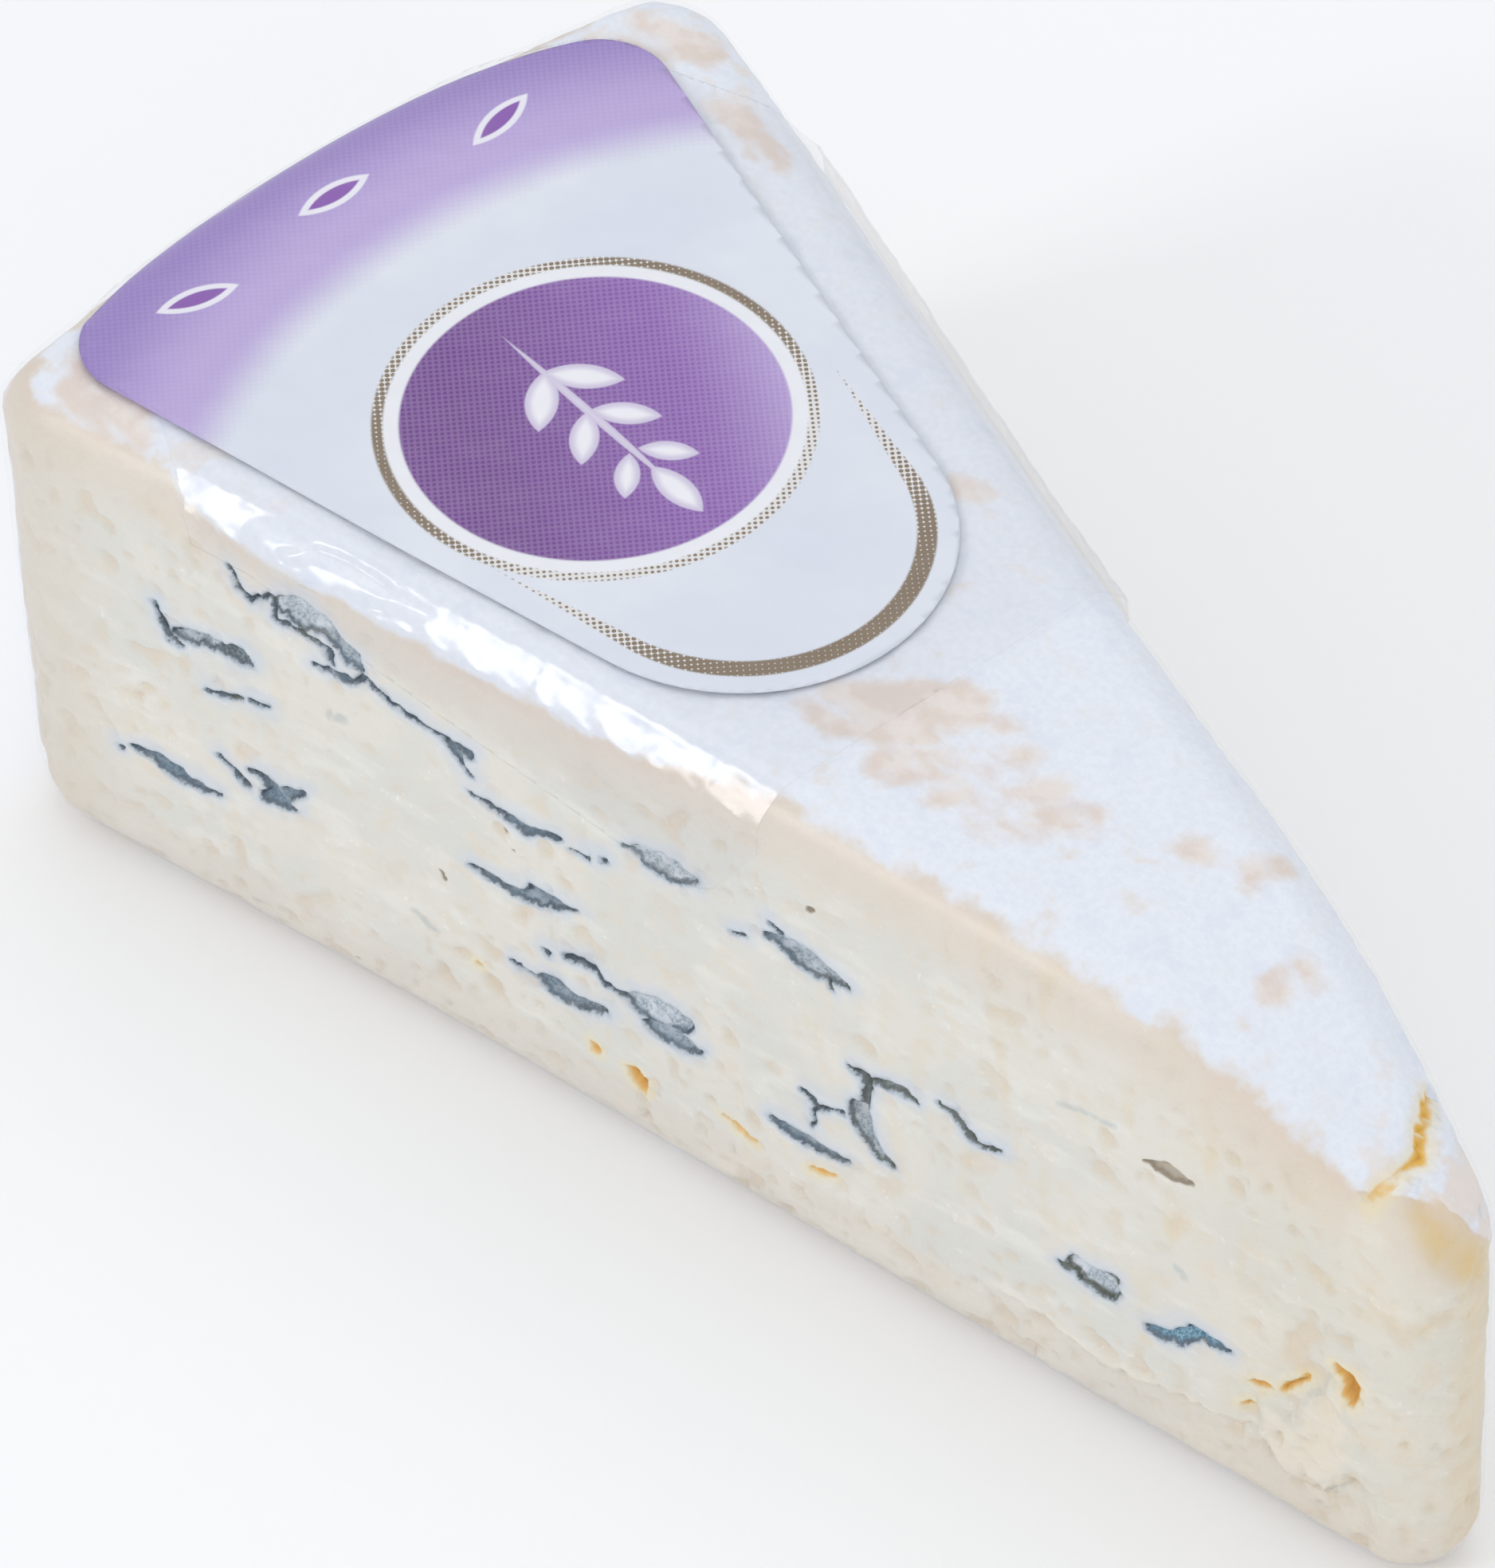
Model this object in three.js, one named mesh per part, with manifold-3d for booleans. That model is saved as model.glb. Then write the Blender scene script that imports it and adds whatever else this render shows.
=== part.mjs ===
// A wedge of soft blue cheese with a white rind, wrapped in clear film that clings to it,
// with a printed film label stuck on top. Millimetres, +Z up, the tip towards +X.
import * as THREE from "three";
import { mergeVertices } from "three/addons/utils/BufferGeometryUtils.js";
import Module from "manifold-3d";

const wasm = await Module();
wasm.setup();

// The wheel that the wedge was cut from
const WHEEL_RADIUS = 125;
const WHEEL_HEIGHT = 39.7;
const WEDGE_ANGLE = THREE.MathUtils.degToRad(26.8);

// Roundings where the wrapped cheese has given way
const TIP_RADIUS = 4.4;
const RIM_CORNER_RADIUS = 5;
const TOP_EDGE_RADIUS = 3.8;
const BASE_EDGE_RADIUS = 4.1;

// How far the soft faces leave their planes
const NEAR_FACE_SAG = -0.6;
const FAR_FACE_SAG = -0.25;
const FACE_WAVE = 0.2;
const RIM_SAG = -0.27;
const TIP_DROP = 17;
const TIP_DROP_REACH = 44;
const RIND_WAVE = 0.12;

// The label
const LABEL_GAP = 0.35;
const LABEL_THICKNESS = 0.25;
const LABEL_TIP = new THREE.Vector2(-80, -0.9);
const LABEL_TIP_RADIUS = 13.2;
const LABEL_BACK = new THREE.Vector2(-75.5, -2);
const LABEL_BACK_RADIUS = 48.8;
const LABEL_CORNER_RADIUS = 5;
const LABEL_TIP_EDGE = -62.3;
const LABEL_RIM_CORNER = 116.5;
const LABEL_RIM_INSET = 6.8;
const TAB_START = 63.8;
const TAB_END = 104.5;
const TAB_DROP = 10;

// Mesh steps
const SIDE_STEPS = 24;
const RIM_STEPS = 18;
const CORNER_STEPS = 4;
const TIP_STEPS = 8;
const EDGE_STEPS = 4;
const UPRIGHT_STEPS = 5;
const TOP_RINGS = [0.95, 0.89, 0.81, 0.7, 0.55, 0.37, 0.18];
const TOP_CENTRE = new THREE.Vector2(-0.62 * WHEEL_RADIUS, 0);

const half = WEDGE_ANGLE / 2;
const nearNormal = new THREE.Vector2(Math.sin(half), -Math.cos(half));
const farNormal = new THREE.Vector2(Math.sin(half), Math.cos(half));
const nearRun = new THREE.Vector2(-Math.cos(half), -Math.sin(half));
const farRun = new THREE.Vector2(-Math.cos(half), Math.sin(half));

// Pockets of blue mould that the knife opened in the near face. along is measured on
// the face from the wheel's centre, up from the base, and tilt is in degrees.
const NEAR_POCKETS = [
  { along: 107.5, up: 26.4, long: 8, high: 2.2, tilt: 4, deep: 0.8 },
  { along: 104.9, up: 23, long: 5, high: 1.1, tilt: -20, deep: 0.5 },
  { along: 110.7, up: 12.4, long: 7.6, high: 1.7, tilt: -4, deep: 0.8 },
  { along: 103.2, up: 16.2, long: 7, high: 2.4, tilt: -8, deep: 0.8 },
  { along: 99.5, up: 33.2, long: 9.5, high: 3.4, tilt: 20, deep: 1.1 },
  { along: 90.5, up: 30.2, long: 8, high: 1.2, tilt: 8, deep: 0.6 },
  { along: 82.6, up: 26.6, long: 7, high: 1.3, tilt: -3, deep: 0.7 },
  { along: 71, up: 30.2, long: 6, high: 2.8, tilt: -4, deep: 0.8 },
  { along: 82.2, up: 20.1, long: 8.4, high: 1.9, tilt: -9, deep: 0.9 },
  { along: 79.8, up: 12.3, long: 7.4, high: 1.8, tilt: 2, deep: 0.9 },
  { along: 71, up: 15, long: 6.4, high: 2.9, tilt: 12, deep: 0.9 },
  { along: 59.4, up: 29.2, long: 7, high: 2.2, tilt: 10, deep: 0.8 },
  { along: 54.3, up: 21, long: 5.2, high: 1.3, tilt: -13, deep: 0.7 },
  { along: 56.8, up: 15.6, long: 7.4, high: 2, tilt: 26, deep: 0.8 },
  { along: 60.3, up: 11.5, long: 5.4, high: 1.4, tilt: 5, deep: 0.7 },
  { along: 47.8, up: 21.6, long: 4.6, high: 1.3, tilt: 14, deep: 0.6 },
  { along: 33.2, up: 28, long: 3.6, high: 1.5, tilt: -8, deep: 0.6 },
  { along: 38.6, up: 13.6, long: 5, high: 3, tilt: 4, deep: 1 },
  { along: 31.6, up: 13, long: 6, high: 1.6, tilt: -18, deep: 0.8 },
  { along: 75.6, up: 8.4, long: 3.2, high: 1.2, tilt: 12, deep: 0.8 },
];

// The torn patch low on the near face by the tip, where flakes came away
const NEAR_TEARS = [
  { along: 20, up: 16.6, long: 6.5, high: 3.4, tilt: -55, deep: 1.1 },
  { along: 25.6, up: 12.2, long: 5, high: 2, tilt: -24, deep: 0.9 },
  { along: 24.2, up: 8.6, long: 8.5, high: 4.6, tilt: 34, deep: 0.7 },
];

// The crack that runs across the rind close to the tip
const CRACK_MIDDLE = new THREE.Vector2(-21.6, 1);
const CRACK_LENGTH = 9.5;
const CRACK_WIDTH = 1.1;
const CRACK_DEPTH = 1.4;
const CRACK_TURN = THREE.MathUtils.degToRad(26);

// Pockets of the far face follow a rule, because no picture shows them
const FAR_ROWS = [9.5, 16.5, 23.5, 30];
const FAR_POCKET_STEP = 17;
const FAR_POCKET_FIRST = 38;
const FAR_POCKET_LAST = 112;
const SEED = 7;

// A repeatable run of numbers from 0 to 1
function seededDraw(seed) {
  let state = seed;
  return () => {
    state = (state * 16807) % 2147483647;
    return state / 2147483647;
  };
}

// The centre of the circle that fits between a straight side and the bowed back
function cornerCentre(shape, normal, run) {
  const start = shape.tip.clone().addScaledVector(normal, shape.tipRadius - shape.cornerRadius);
  const reach = shape.backRadius - shape.cornerRadius;
  const fromBack = start.clone().sub(shape.back);
  const b = fromBack.dot(run);
  const c = fromBack.lengthSq() - reach * reach;
  return start.addScaledVector(run, -b + Math.sqrt(b * b - c));
}

// Stations along an arc, each with its outward normal
function arcStations(centre, radius, from, to, steps, bulge = 0) {
  const stations = [];
  for (let i = 0; i < steps; i++) {
    const turn = i / steps;
    const angle = from + (to - from) * turn;
    const normal = new THREE.Vector2(Math.cos(angle), Math.sin(angle));
    const out = radius + bulge * (1 - (2 * turn - 1) ** 2);
    stations.push({ point: centre.clone().addScaledVector(normal, out), normal });
  }
  return stations;
}

// Stations along a straight side that sags by sag(share) at each share of its length
function sideStations(from, to, normal, steps, sag) {
  const stations = [];
  for (let i = 0; i < steps; i++) {
    const share = i / steps;
    const point = from.clone().lerp(to, share).addScaledVector(normal, sag(share));
    stations.push({ point, normal });
  }
  return stations;
}

// A rounded wedge seen from above, counter-clockwise from the near rim corner
function roundedWedge(shape) {
  const nearCorner = cornerCentre(shape, nearNormal, nearRun);
  const farCorner = cornerCentre(shape, farNormal, farRun);
  const onSide = (centre, normal, radius) => centre.clone().addScaledVector(normal, radius);
  const nearAngle = nearNormal.angle() - 2 * Math.PI;
  const farAngle = farNormal.angle();
  const backFrom = farCorner.clone().sub(shape.back).angle();
  const backTo = nearCorner.clone().sub(shape.back).angle();
  const { tip, tipRadius, back, backRadius, cornerRadius } = shape;
  const nearFrom = onSide(nearCorner, nearNormal, cornerRadius);
  const nearTo = onSide(tip, nearNormal, tipRadius);
  const farFrom = onSide(tip, farNormal, tipRadius);
  const farTo = onSide(farCorner, farNormal, cornerRadius);
  return [
    ...sideStations(nearFrom, nearTo, nearNormal, SIDE_STEPS, shape.nearSag),
    ...arcStations(tip, tipRadius, nearAngle, farAngle, TIP_STEPS),
    ...sideStations(farFrom, farTo, farNormal, SIDE_STEPS, shape.farSag),
    ...arcStations(farCorner, cornerRadius, farAngle, backFrom, CORNER_STEPS),
    ...arcStations(back, backRadius, backFrom, backTo, RIM_STEPS, shape.backBulge),
    ...arcStations(nearCorner, cornerRadius, backTo, nearAngle + 2 * Math.PI, CORNER_STEPS),
  ];
}

// How far the near face stands out of its plane at a share of its length from the rim
function nearSag(share) {
  return NEAR_FACE_SAG * Math.sin(Math.PI * share) - FACE_WAVE * Math.sin(2 * Math.PI * share);
}

function farSag(share) {
  return FAR_FACE_SAG * Math.sin(Math.PI * share) + FACE_WAVE * Math.sin(3 * Math.PI * share);
}

function flat() {
  return 0;
}

const cheeseShape = {
  tip: new THREE.Vector2(-TIP_RADIUS / Math.sin(half), 0),
  tipRadius: TIP_RADIUS,
  back: new THREE.Vector2(0, 0),
  backRadius: WHEEL_RADIUS,
  backBulge: RIM_SAG,
  cornerRadius: RIM_CORNER_RADIUS,
  nearSag,
  farSag,
};

const printShape = {
  tip: LABEL_TIP,
  tipRadius: LABEL_TIP_RADIUS,
  back: LABEL_BACK,
  backRadius: LABEL_BACK_RADIUS,
  backBulge: 0,
  cornerRadius: LABEL_CORNER_RADIUS,
  nearSag: flat,
  farSag: flat,
};

// The rind's height: level, a little wavy, and sinking towards the tip
function rindHeight(x, y) {
  const drop = TIP_DROP * Math.max(0, 1 - Math.hypot(x, y) / TIP_DROP_REACH) ** 2;
  const wave = Math.sin(x / 7.5 + 1) * Math.cos(y / 6) + Math.sin(x / 12 - y / 9);
  return WHEEL_HEIGHT - drop + RIND_WAVE * wave;
}

// One ring round an edge: the outline pulled in, and swung out again by the edge's angle
function edgeRing(outline, edgeRadius, lift, angle, top) {
  return outline.map(({ point, normal }) => {
    const inner = point.clone().addScaledVector(normal, -edgeRadius);
    const at = inner.clone().addScaledVector(normal, (edgeRadius + lift) * Math.sin(angle));
    const level = top ? rindHeight(inner.x, inner.y) - edgeRadius : edgeRadius;
    const swing = (edgeRadius + lift) * Math.cos(angle);
    return new THREE.Vector3(at.x, at.y, top ? level + swing : level - swing);
  });
}

// The wrapped wedge's rings from the base up, all pushed out by lift
function wedgeRings(lift) {
  const outline = roundedWedge(cheeseShape);
  const rings = [];
  for (let i = 0; i <= EDGE_STEPS; i++) {
    rings.push(edgeRing(outline, BASE_EDGE_RADIUS, lift, (i / EDGE_STEPS) * Math.PI / 2, false));
  }
  const foot = rings.at(-1);
  const shoulder = edgeRing(outline, TOP_EDGE_RADIUS, lift, Math.PI / 2, true);
  for (let i = 1; i < UPRIGHT_STEPS; i++) {
    rings.push(foot.map((low, k) => low.clone().lerp(shoulder[k], i / UPRIGHT_STEPS)));
  }
  for (let i = 0; i <= EDGE_STEPS; i++) {
    rings.push(edgeRing(outline, TOP_EDGE_RADIUS, lift, (1 - i / EDGE_STEPS) * Math.PI / 2, true));
  }
  const brow = outline.map(({ point, normal }) => point.clone().addScaledVector(normal, -TOP_EDGE_RADIUS));
  for (const size of TOP_RINGS) {
    rings.push(brow.map((point) => {
      const at = TOP_CENTRE.clone().lerp(point, size);
      return new THREE.Vector3(at.x, at.y, rindHeight(at.x, at.y) + lift);
    }));
  }
  return rings;
}

// A closed skin over rings, with a flat fan under the first and over the last
function closedRings(rings, lowCentre, highCentre) {
  const around = rings[0].length;
  const corners = rings.flat();
  corners.push(lowCentre, highCentre);
  const low = corners.length - 2;
  const high = corners.length - 1;
  const lastRing = (rings.length - 1) * around;
  const faces = [];
  for (let k = 0; k < around; k++) {
    const next = (k + 1) % around;
    faces.push(low, next, k, high, lastRing + k, lastRing + next);
    for (let i = 0; i < lastRing; i += around) {
      faces.push(i + k, i + next, i + around + next, i + k, i + around + next, i + around + k);
    }
  }
  return new THREE.BufferGeometry().setFromPoints(corners).setIndex(faces);
}

function wedgeGeometry(lift = 0) {
  const { x, y } = TOP_CENTRE;
  const low = new THREE.Vector3(x, y, -lift);
  const high = new THREE.Vector3(x, y, rindHeight(x, y) + lift);
  return closedRings(wedgeRings(lift), low, high);
}

// Solids for joining and cutting
function toSolid(geometry) {
  const bare = geometry.clone();
  bare.deleteAttribute("normal");
  bare.deleteAttribute("uv");
  const merged = mergeVertices(bare, 1e-4);
  return new wasm.Manifold(new wasm.Mesh({
    numProp: 3,
    vertProperties: new Float32Array(merged.attributes.position.array),
    triVerts: new Uint32Array(merged.index.array),
  }));
}

function toGeometry(solid) {
  const mesh = solid.getMesh();
  return new THREE.BufferGeometry()
    .setAttribute("position", new THREE.BufferAttribute(mesh.vertProperties, 3))
    .setIndex(new THREE.BufferAttribute(mesh.triVerts, 1));
}

// A frame on a cut face: X along it towards the rim, Y into the cheese or out, Z up
function faceFrame(run, normal, sag, along) {
  const first = TIP_RADIUS / Math.tan(half);
  const share = THREE.MathUtils.clamp((WHEEL_RADIUS - RIM_CORNER_RADIUS - along)
    / (WHEEL_RADIUS - RIM_CORNER_RADIUS - first), 0, 1);
  const spot = run.clone().multiplyScalar(along).addScaledVector(normal, sag(share));
  return new THREE.Matrix4()
    .makeBasis(
      new THREE.Vector3(run.x, run.y, 0),
      new THREE.Vector3(-run.y, run.x, 0),
      new THREE.Vector3(0, 0, 1),
    )
    .setPosition(spot.x, spot.y, 0);
}

// A spindle-shaped pocket cut into a face
function pocketSolid({ along, up, long, high, tilt, deep }, run, normal, sag) {
  const spindle = new THREE.SphereGeometry(1, 10, 6)
    .scale(long / 2, deep, high / 2)
    .rotateY(THREE.MathUtils.degToRad(-tilt))
    .translate(0, 0, up)
    .applyMatrix4(faceFrame(run, normal, sag, along));
  return toSolid(spindle);
}

function farPockets() {
  const draw = seededDraw(SEED);
  const pockets = [];
  for (const [row, up] of FAR_ROWS.entries()) {
    const start = FAR_POCKET_FIRST + (row % 2) * FAR_POCKET_STEP / 2;
    for (let along = start; along < FAR_POCKET_LAST; along += FAR_POCKET_STEP) {
      pockets.push({
        along: along + 5 * (draw() - 0.5),
        up: up + 3 * (draw() - 0.5),
        long: 4 + 4.5 * draw(),
        high: 1.2 + 1.5 * draw(),
        tilt: 40 * (draw() - 0.5),
        deep: 0.7 + 0.3 * draw(),
      });
    }
  }
  return pockets;
}

function crackSolid() {
  const { x, y } = CRACK_MIDDLE;
  const crack = new THREE.SphereGeometry(1, 10, 6)
    .scale(CRACK_WIDTH / 2, CRACK_LENGTH / 2, CRACK_DEPTH)
    .rotateZ(CRACK_TURN)
    .translate(x, y, rindHeight(x, y));
  return toSolid(crack);
}

function cheeseWedge() {
  let solid = toSolid(wedgeGeometry()).subtract(crackSolid());
  for (const pocket of [...NEAR_POCKETS, ...NEAR_TEARS]) {
    solid = solid.subtract(pocketSolid(pocket, nearRun, nearNormal, nearSag));
  }
  for (const pocket of farPockets()) {
    solid = solid.subtract(pocketSolid(pocket, farRun, farNormal, (share) => farSag(1 - share)));
  }
  return toGeometry(solid);
}

// A block with the outline of a shape, from one level to another
function uprightBlock(shape, from, to) {
  const settings = { depth: to - from, bevelEnabled: false, curveSegments: 4 };
  return toSolid(new THREE.ExtrudeGeometry(shape, settings).translate(0, 0, from));
}

// A point seen from above, measured along a cut face and inwards from it
function fromFace(run, normal, along, inwards) {
  return run.clone().multiplyScalar(along).addScaledVector(normal, -inwards);
}

// The clear band that carries the print: straight across at the tip end, slanting at the rim
function bandBlock() {
  const past = -2;
  const side = (run, normal) => [
    fromFace(run, normal, LABEL_RIM_CORNER - LABEL_CORNER_RADIUS, LABEL_TIP_RADIUS),
    fromFace(run, normal, LABEL_RIM_CORNER, LABEL_RIM_INSET),
    fromFace(run, normal, TAB_END, past),
    new THREE.Vector2(LABEL_TIP_EDGE, Math.sign(run.y) * (past + LABEL_TIP_EDGE) * Math.tan(-half)),
  ];
  const outline = [...side(nearRun, nearNormal), ...side(farRun, farNormal).reverse()];
  const shoulder = WHEEL_HEIGHT - TOP_EDGE_RADIUS - 0.2;
  return uprightBlock(new THREE.Shape(outline), shoulder, WHEEL_HEIGHT + 2);
}

// The tab that hangs down the cut face, lowest near its tip end
function tabBlock(run, normal, sag) {
  const shoulder = WHEEL_HEIGHT - TOP_EDGE_RADIUS;
  const low = WHEEL_HEIGHT - TAB_DROP;
  const tab = new THREE.Shape();
  tab.moveTo(TAB_END - 1, shoulder);
  tab.bezierCurveTo(TAB_END - 10, low + 3.5, TAB_START + 22, low + 2, TAB_START + 11, low);
  tab.quadraticCurveTo(TAB_START + 4, low - 1.2, TAB_START + 3, low + 1.5);
  tab.lineTo(TAB_START, shoulder);
  const block = new THREE.ExtrudeGeometry(tab, { depth: 8, bevelEnabled: false, curveSegments: 8 })
    .rotateX(Math.PI / 2)
    .translate(0, 4, 0)
    .applyMatrix4(faceFrame(run, normal, sag, 0));
  return toSolid(block);
}

function label() {
  const outer = toSolid(wedgeGeometry(LABEL_GAP + LABEL_THICKNESS));
  const inner = toSolid(wedgeGeometry(LABEL_GAP));
  const print = new THREE.Shape(roundedWedge(printShape).map(({ point }) => point));
  const area = uprightBlock(print, WHEEL_HEIGHT - TOP_EDGE_RADIUS - 1, WHEEL_HEIGHT + 2)
    .add(bandBlock())
    .add(tabBlock(nearRun, nearNormal, nearSag))
    .add(tabBlock(farRun, farNormal, farSag));
  return toGeometry(outer.subtract(inner).intersect(area));
}

function namedMesh(name, geometry, material) {
  const mesh = new THREE.Mesh(geometry, material);
  mesh.name = name;
  return mesh;
}

const rindAndPaste = new THREE.MeshStandardMaterial({ color: 0xe2dccf, roughness: 0.4, metalness: 0 });
const printedFilm = new THREE.MeshStandardMaterial({ color: 0xb9a6dc, roughness: 0.25, metalness: 0 });

const wrappedWedge = new THREE.Group();
wrappedWedge.add(namedMesh("cheese_wedge", cheeseWedge(), rindAndPaste));
wrappedWedge.add(namedMesh("label", label(), printedFilm));

// The origin is under the middle of the wedge, on the surface that it lies on
const middle = new THREE.Box3().setFromObject(wrappedWedge).getCenter(new THREE.Vector3());
for (const piece of wrappedWedge.children) {
  piece.position.set(-middle.x, -middle.y, 0);
}

export default wrappedWedge;
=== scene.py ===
import math
import bpy
import numpy as np
from mathutils import Matrix, Vector, noise


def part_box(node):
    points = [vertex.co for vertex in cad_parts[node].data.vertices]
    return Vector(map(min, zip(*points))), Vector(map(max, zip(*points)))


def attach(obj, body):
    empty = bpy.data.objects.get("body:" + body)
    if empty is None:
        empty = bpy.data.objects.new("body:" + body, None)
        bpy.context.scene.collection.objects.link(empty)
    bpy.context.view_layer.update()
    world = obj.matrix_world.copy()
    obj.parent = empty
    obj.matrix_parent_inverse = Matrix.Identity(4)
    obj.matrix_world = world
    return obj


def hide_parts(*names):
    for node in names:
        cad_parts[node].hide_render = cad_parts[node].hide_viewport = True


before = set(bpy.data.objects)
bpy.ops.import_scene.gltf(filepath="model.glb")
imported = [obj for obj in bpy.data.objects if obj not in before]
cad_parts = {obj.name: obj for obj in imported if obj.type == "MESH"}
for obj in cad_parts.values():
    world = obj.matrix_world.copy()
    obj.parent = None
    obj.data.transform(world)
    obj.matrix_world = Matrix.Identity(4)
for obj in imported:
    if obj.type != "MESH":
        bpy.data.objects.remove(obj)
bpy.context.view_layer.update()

# Cheese: a wedge of a soft, white-rinded wheel, with pockets of blue mould in a cream paste.
# It is cut from the wheel with two straight strokes, and its edges have sunk a little under the film.
MM = 0.001
WHEEL_RADIUS = 125.0
WHEEL_HEIGHT = 39.7
HALF_ANGLE = math.radians(13.4)
TIP_RADIUS = 4.4
RIM_CORNER_RADIUS = 5.0
TOP_EDGE_RADIUS = 3.8
BASE_EDGE_RADIUS = 4.1
WHEEL_SIDES = 288
TIP_DROP = 17.0
TIP_DROP_REACH = 44.0
RIND_WAVE = 0.12
NEAR_SAG = -0.6
FAR_SAG = -0.25
FACE_WAVE = 0.2
SAG_DEPTH = 9.0
CHEESE_GRID = 0.64
NEAR_CUT = (math.sin(HALF_ANGLE), -math.cos(HALF_ANGLE))
FAR_CUT = (math.sin(HALF_ANGLE), math.cos(HALF_ANGLE))

cheese_low, cheese_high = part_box("cheese_wedge")
tip_reach = TIP_RADIUS / math.sin(HALF_ANGLE)
WHEEL_X = cheese_high.x / MM + tip_reach - TIP_RADIUS


def set_mode(mode):
    bpy.ops.object.mode_set(mode=mode)


def deselect_all():
    if bpy.context.object and bpy.context.object.mode != "OBJECT":
        set_mode("OBJECT")
    bpy.ops.object.select_all(action="DESELECT")


def pick(piece):
    deselect_all()
    piece.select_set(True)
    bpy.context.view_layer.objects.active = piece


def listed(parts, name, width=1, kind=np.float32):
    """One value, or a row of them, for every vertex, edge or face."""
    flat = np.empty(len(parts) * width, dtype=kind)
    parts.foreach_get(name, flat)
    return flat.reshape(-1, width) if width > 1 else flat


def spots(piece):
    """The piece's vertices in millimetres, measured from the middle of the wheel."""
    return listed(piece.data.vertices, "co", 3).astype(float) / MM - (WHEEL_X, 0, 0)


def move_spots(piece, points):
    flat = ((points + (WHEEL_X, 0, 0)) * MM).astype(np.float32).ravel()
    piece.data.vertices.foreach_set("co", flat)
    piece.data.update()


def directions(piece):
    return listed(piece.data.vertices, "normal", 3).astype(float)


def select_parts(piece, kind, wanted):
    """Selects the listed vertices or faces and opens edit mode on them."""
    pick(piece)
    mesh = piece.data
    for part in (mesh.vertices, mesh.edges, mesh.polygons):
        part.foreach_set("select", np.zeros(len(part), dtype=bool))
    getattr(mesh, kind).foreach_set("select", np.asarray(wanted, dtype=bool))
    modes = {"vertices": "VERT", "edges": "EDGE", "polygons": "FACE"}
    bpy.context.tool_settings.mesh_select_mode = [kind == name for name in modes]
    set_mode("EDIT")
    bpy.ops.mesh.select_mode(type=modes[kind])


def edge_ends(piece):
    """The two ends of every edge, in millimetres."""
    ends = listed(piece.data.edges, "vertices", 2, np.int32)
    points = spots(piece)
    return points[ends[:, 0]], points[ends[:, 1]]


def upright_edges(piece, x, y, reach=0.5):
    """Which edges stand upright at a place seen from above."""
    first, last = edge_ends(piece)
    near = [np.hypot(end[:, 0] - x, end[:, 1] - y) < reach for end in (first, last)]
    return near[0] & near[1] & (np.abs(first[:, 2] - last[:, 2]) > 1)


def round_upright(piece, corner, centre, radius, offset, segments):
    """Bevels an upright edge, then trues the new vertices to a circle."""
    select_parts(piece, "edges", upright_edges(piece, *corner))
    bpy.ops.mesh.bevel(
        offset=offset * MM, segments=segments, profile=0.5, affect="EDGES", clamp_overlap=False)
    set_mode("OBJECT")
    rounded = listed(piece.data.vertices, "select", kind=bool)
    points = spots(piece)
    away = points[rounded, :2] - centre
    points[rounded, :2] = centre + away * (radius / np.hypot(*away.T))[:, None]
    move_spots(piece, points)


def along_face(cut):
    """The direction in which a cut runs, from the tip to the rim."""
    return np.array((-math.cos(HALF_ANGLE), math.copysign(math.sin(HALF_ANGLE), cut[1])))


def meet_circle(start, cut, radius):
    """Where a line along a cut, from a start within a circle round the origin, comes out of it."""
    run = along_face(cut)
    along = start @ run
    return start + run * (-along + math.sqrt(along ** 2 - start @ start + radius ** 2))


def cut_from_wheel(name):
    """A wedge with a rounded tip and rim corners, cut out of the whole wheel."""
    deselect_all()
    bpy.ops.mesh.primitive_cylinder_add(
        vertices=WHEEL_SIDES, radius=WHEEL_RADIUS * MM, depth=WHEEL_HEIGHT * MM, end_fill_type="NGON",
        location=(WHEEL_X * MM, 0, WHEEL_HEIGHT * MM / 2))
    piece = bpy.context.object
    piece.name = name
    bpy.ops.object.transform_apply(location=True, rotation=True, scale=True)
    rounds = []
    for cut in (NEAR_CUT, FAR_CUT):
        start = np.array(tip_centre) + np.array(cut) * TIP_RADIUS
        set_mode("EDIT")
        bpy.ops.mesh.select_all(action="SELECT")
        bpy.ops.mesh.bisect(
            plane_co=((start[0] + WHEEL_X) * MM, start[1] * MM, 0), plane_no=(cut[0], cut[1], 0),
            clear_outer=True, use_fill=True)
        set_mode("OBJECT")
        inner = start - np.array(cut) * RIM_CORNER_RADIUS
        end = meet_circle(start, cut, WHEEL_RADIUS)
        rounds.append((end, meet_circle(inner, cut, WHEEL_RADIUS - RIM_CORNER_RADIUS)))
    for end, middle in rounds:
        round_upright(piece, end, middle, RIM_CORNER_RADIUS, RIM_CORNER_RADIUS * 0.93, 8)
    round_upright(piece, (0, 0), np.array(tip_centre), TIP_RADIUS, TIP_RADIUS / math.tan(HALF_ANGLE), 18)
    return piece


def cap_edges(piece, level):
    """Which edges lie at a height."""
    first, last = edge_ends(piece)
    return (np.abs(first[:, 2] - level) < 0.01) & (np.abs(last[:, 2] - level) < 0.01)


def run_modifier(piece, kind, **settings):
    pick(piece)
    modifier = piece.modifiers.new("work", kind)
    for key, value in settings.items():
        setattr(modifier, key, value)
    bpy.ops.object.modifier_apply(modifier=modifier.name)


def rind_height(x, y):
    drop = TIP_DROP * np.maximum(0, 1 - np.hypot(x, y) / TIP_DROP_REACH) ** 2
    wave = np.sin(x / 7.5 + 1) * np.cos(y / 6) + np.sin(x / 12 - y / 9)
    return WHEEL_HEIGHT - drop + RIND_WAVE * wave


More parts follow.
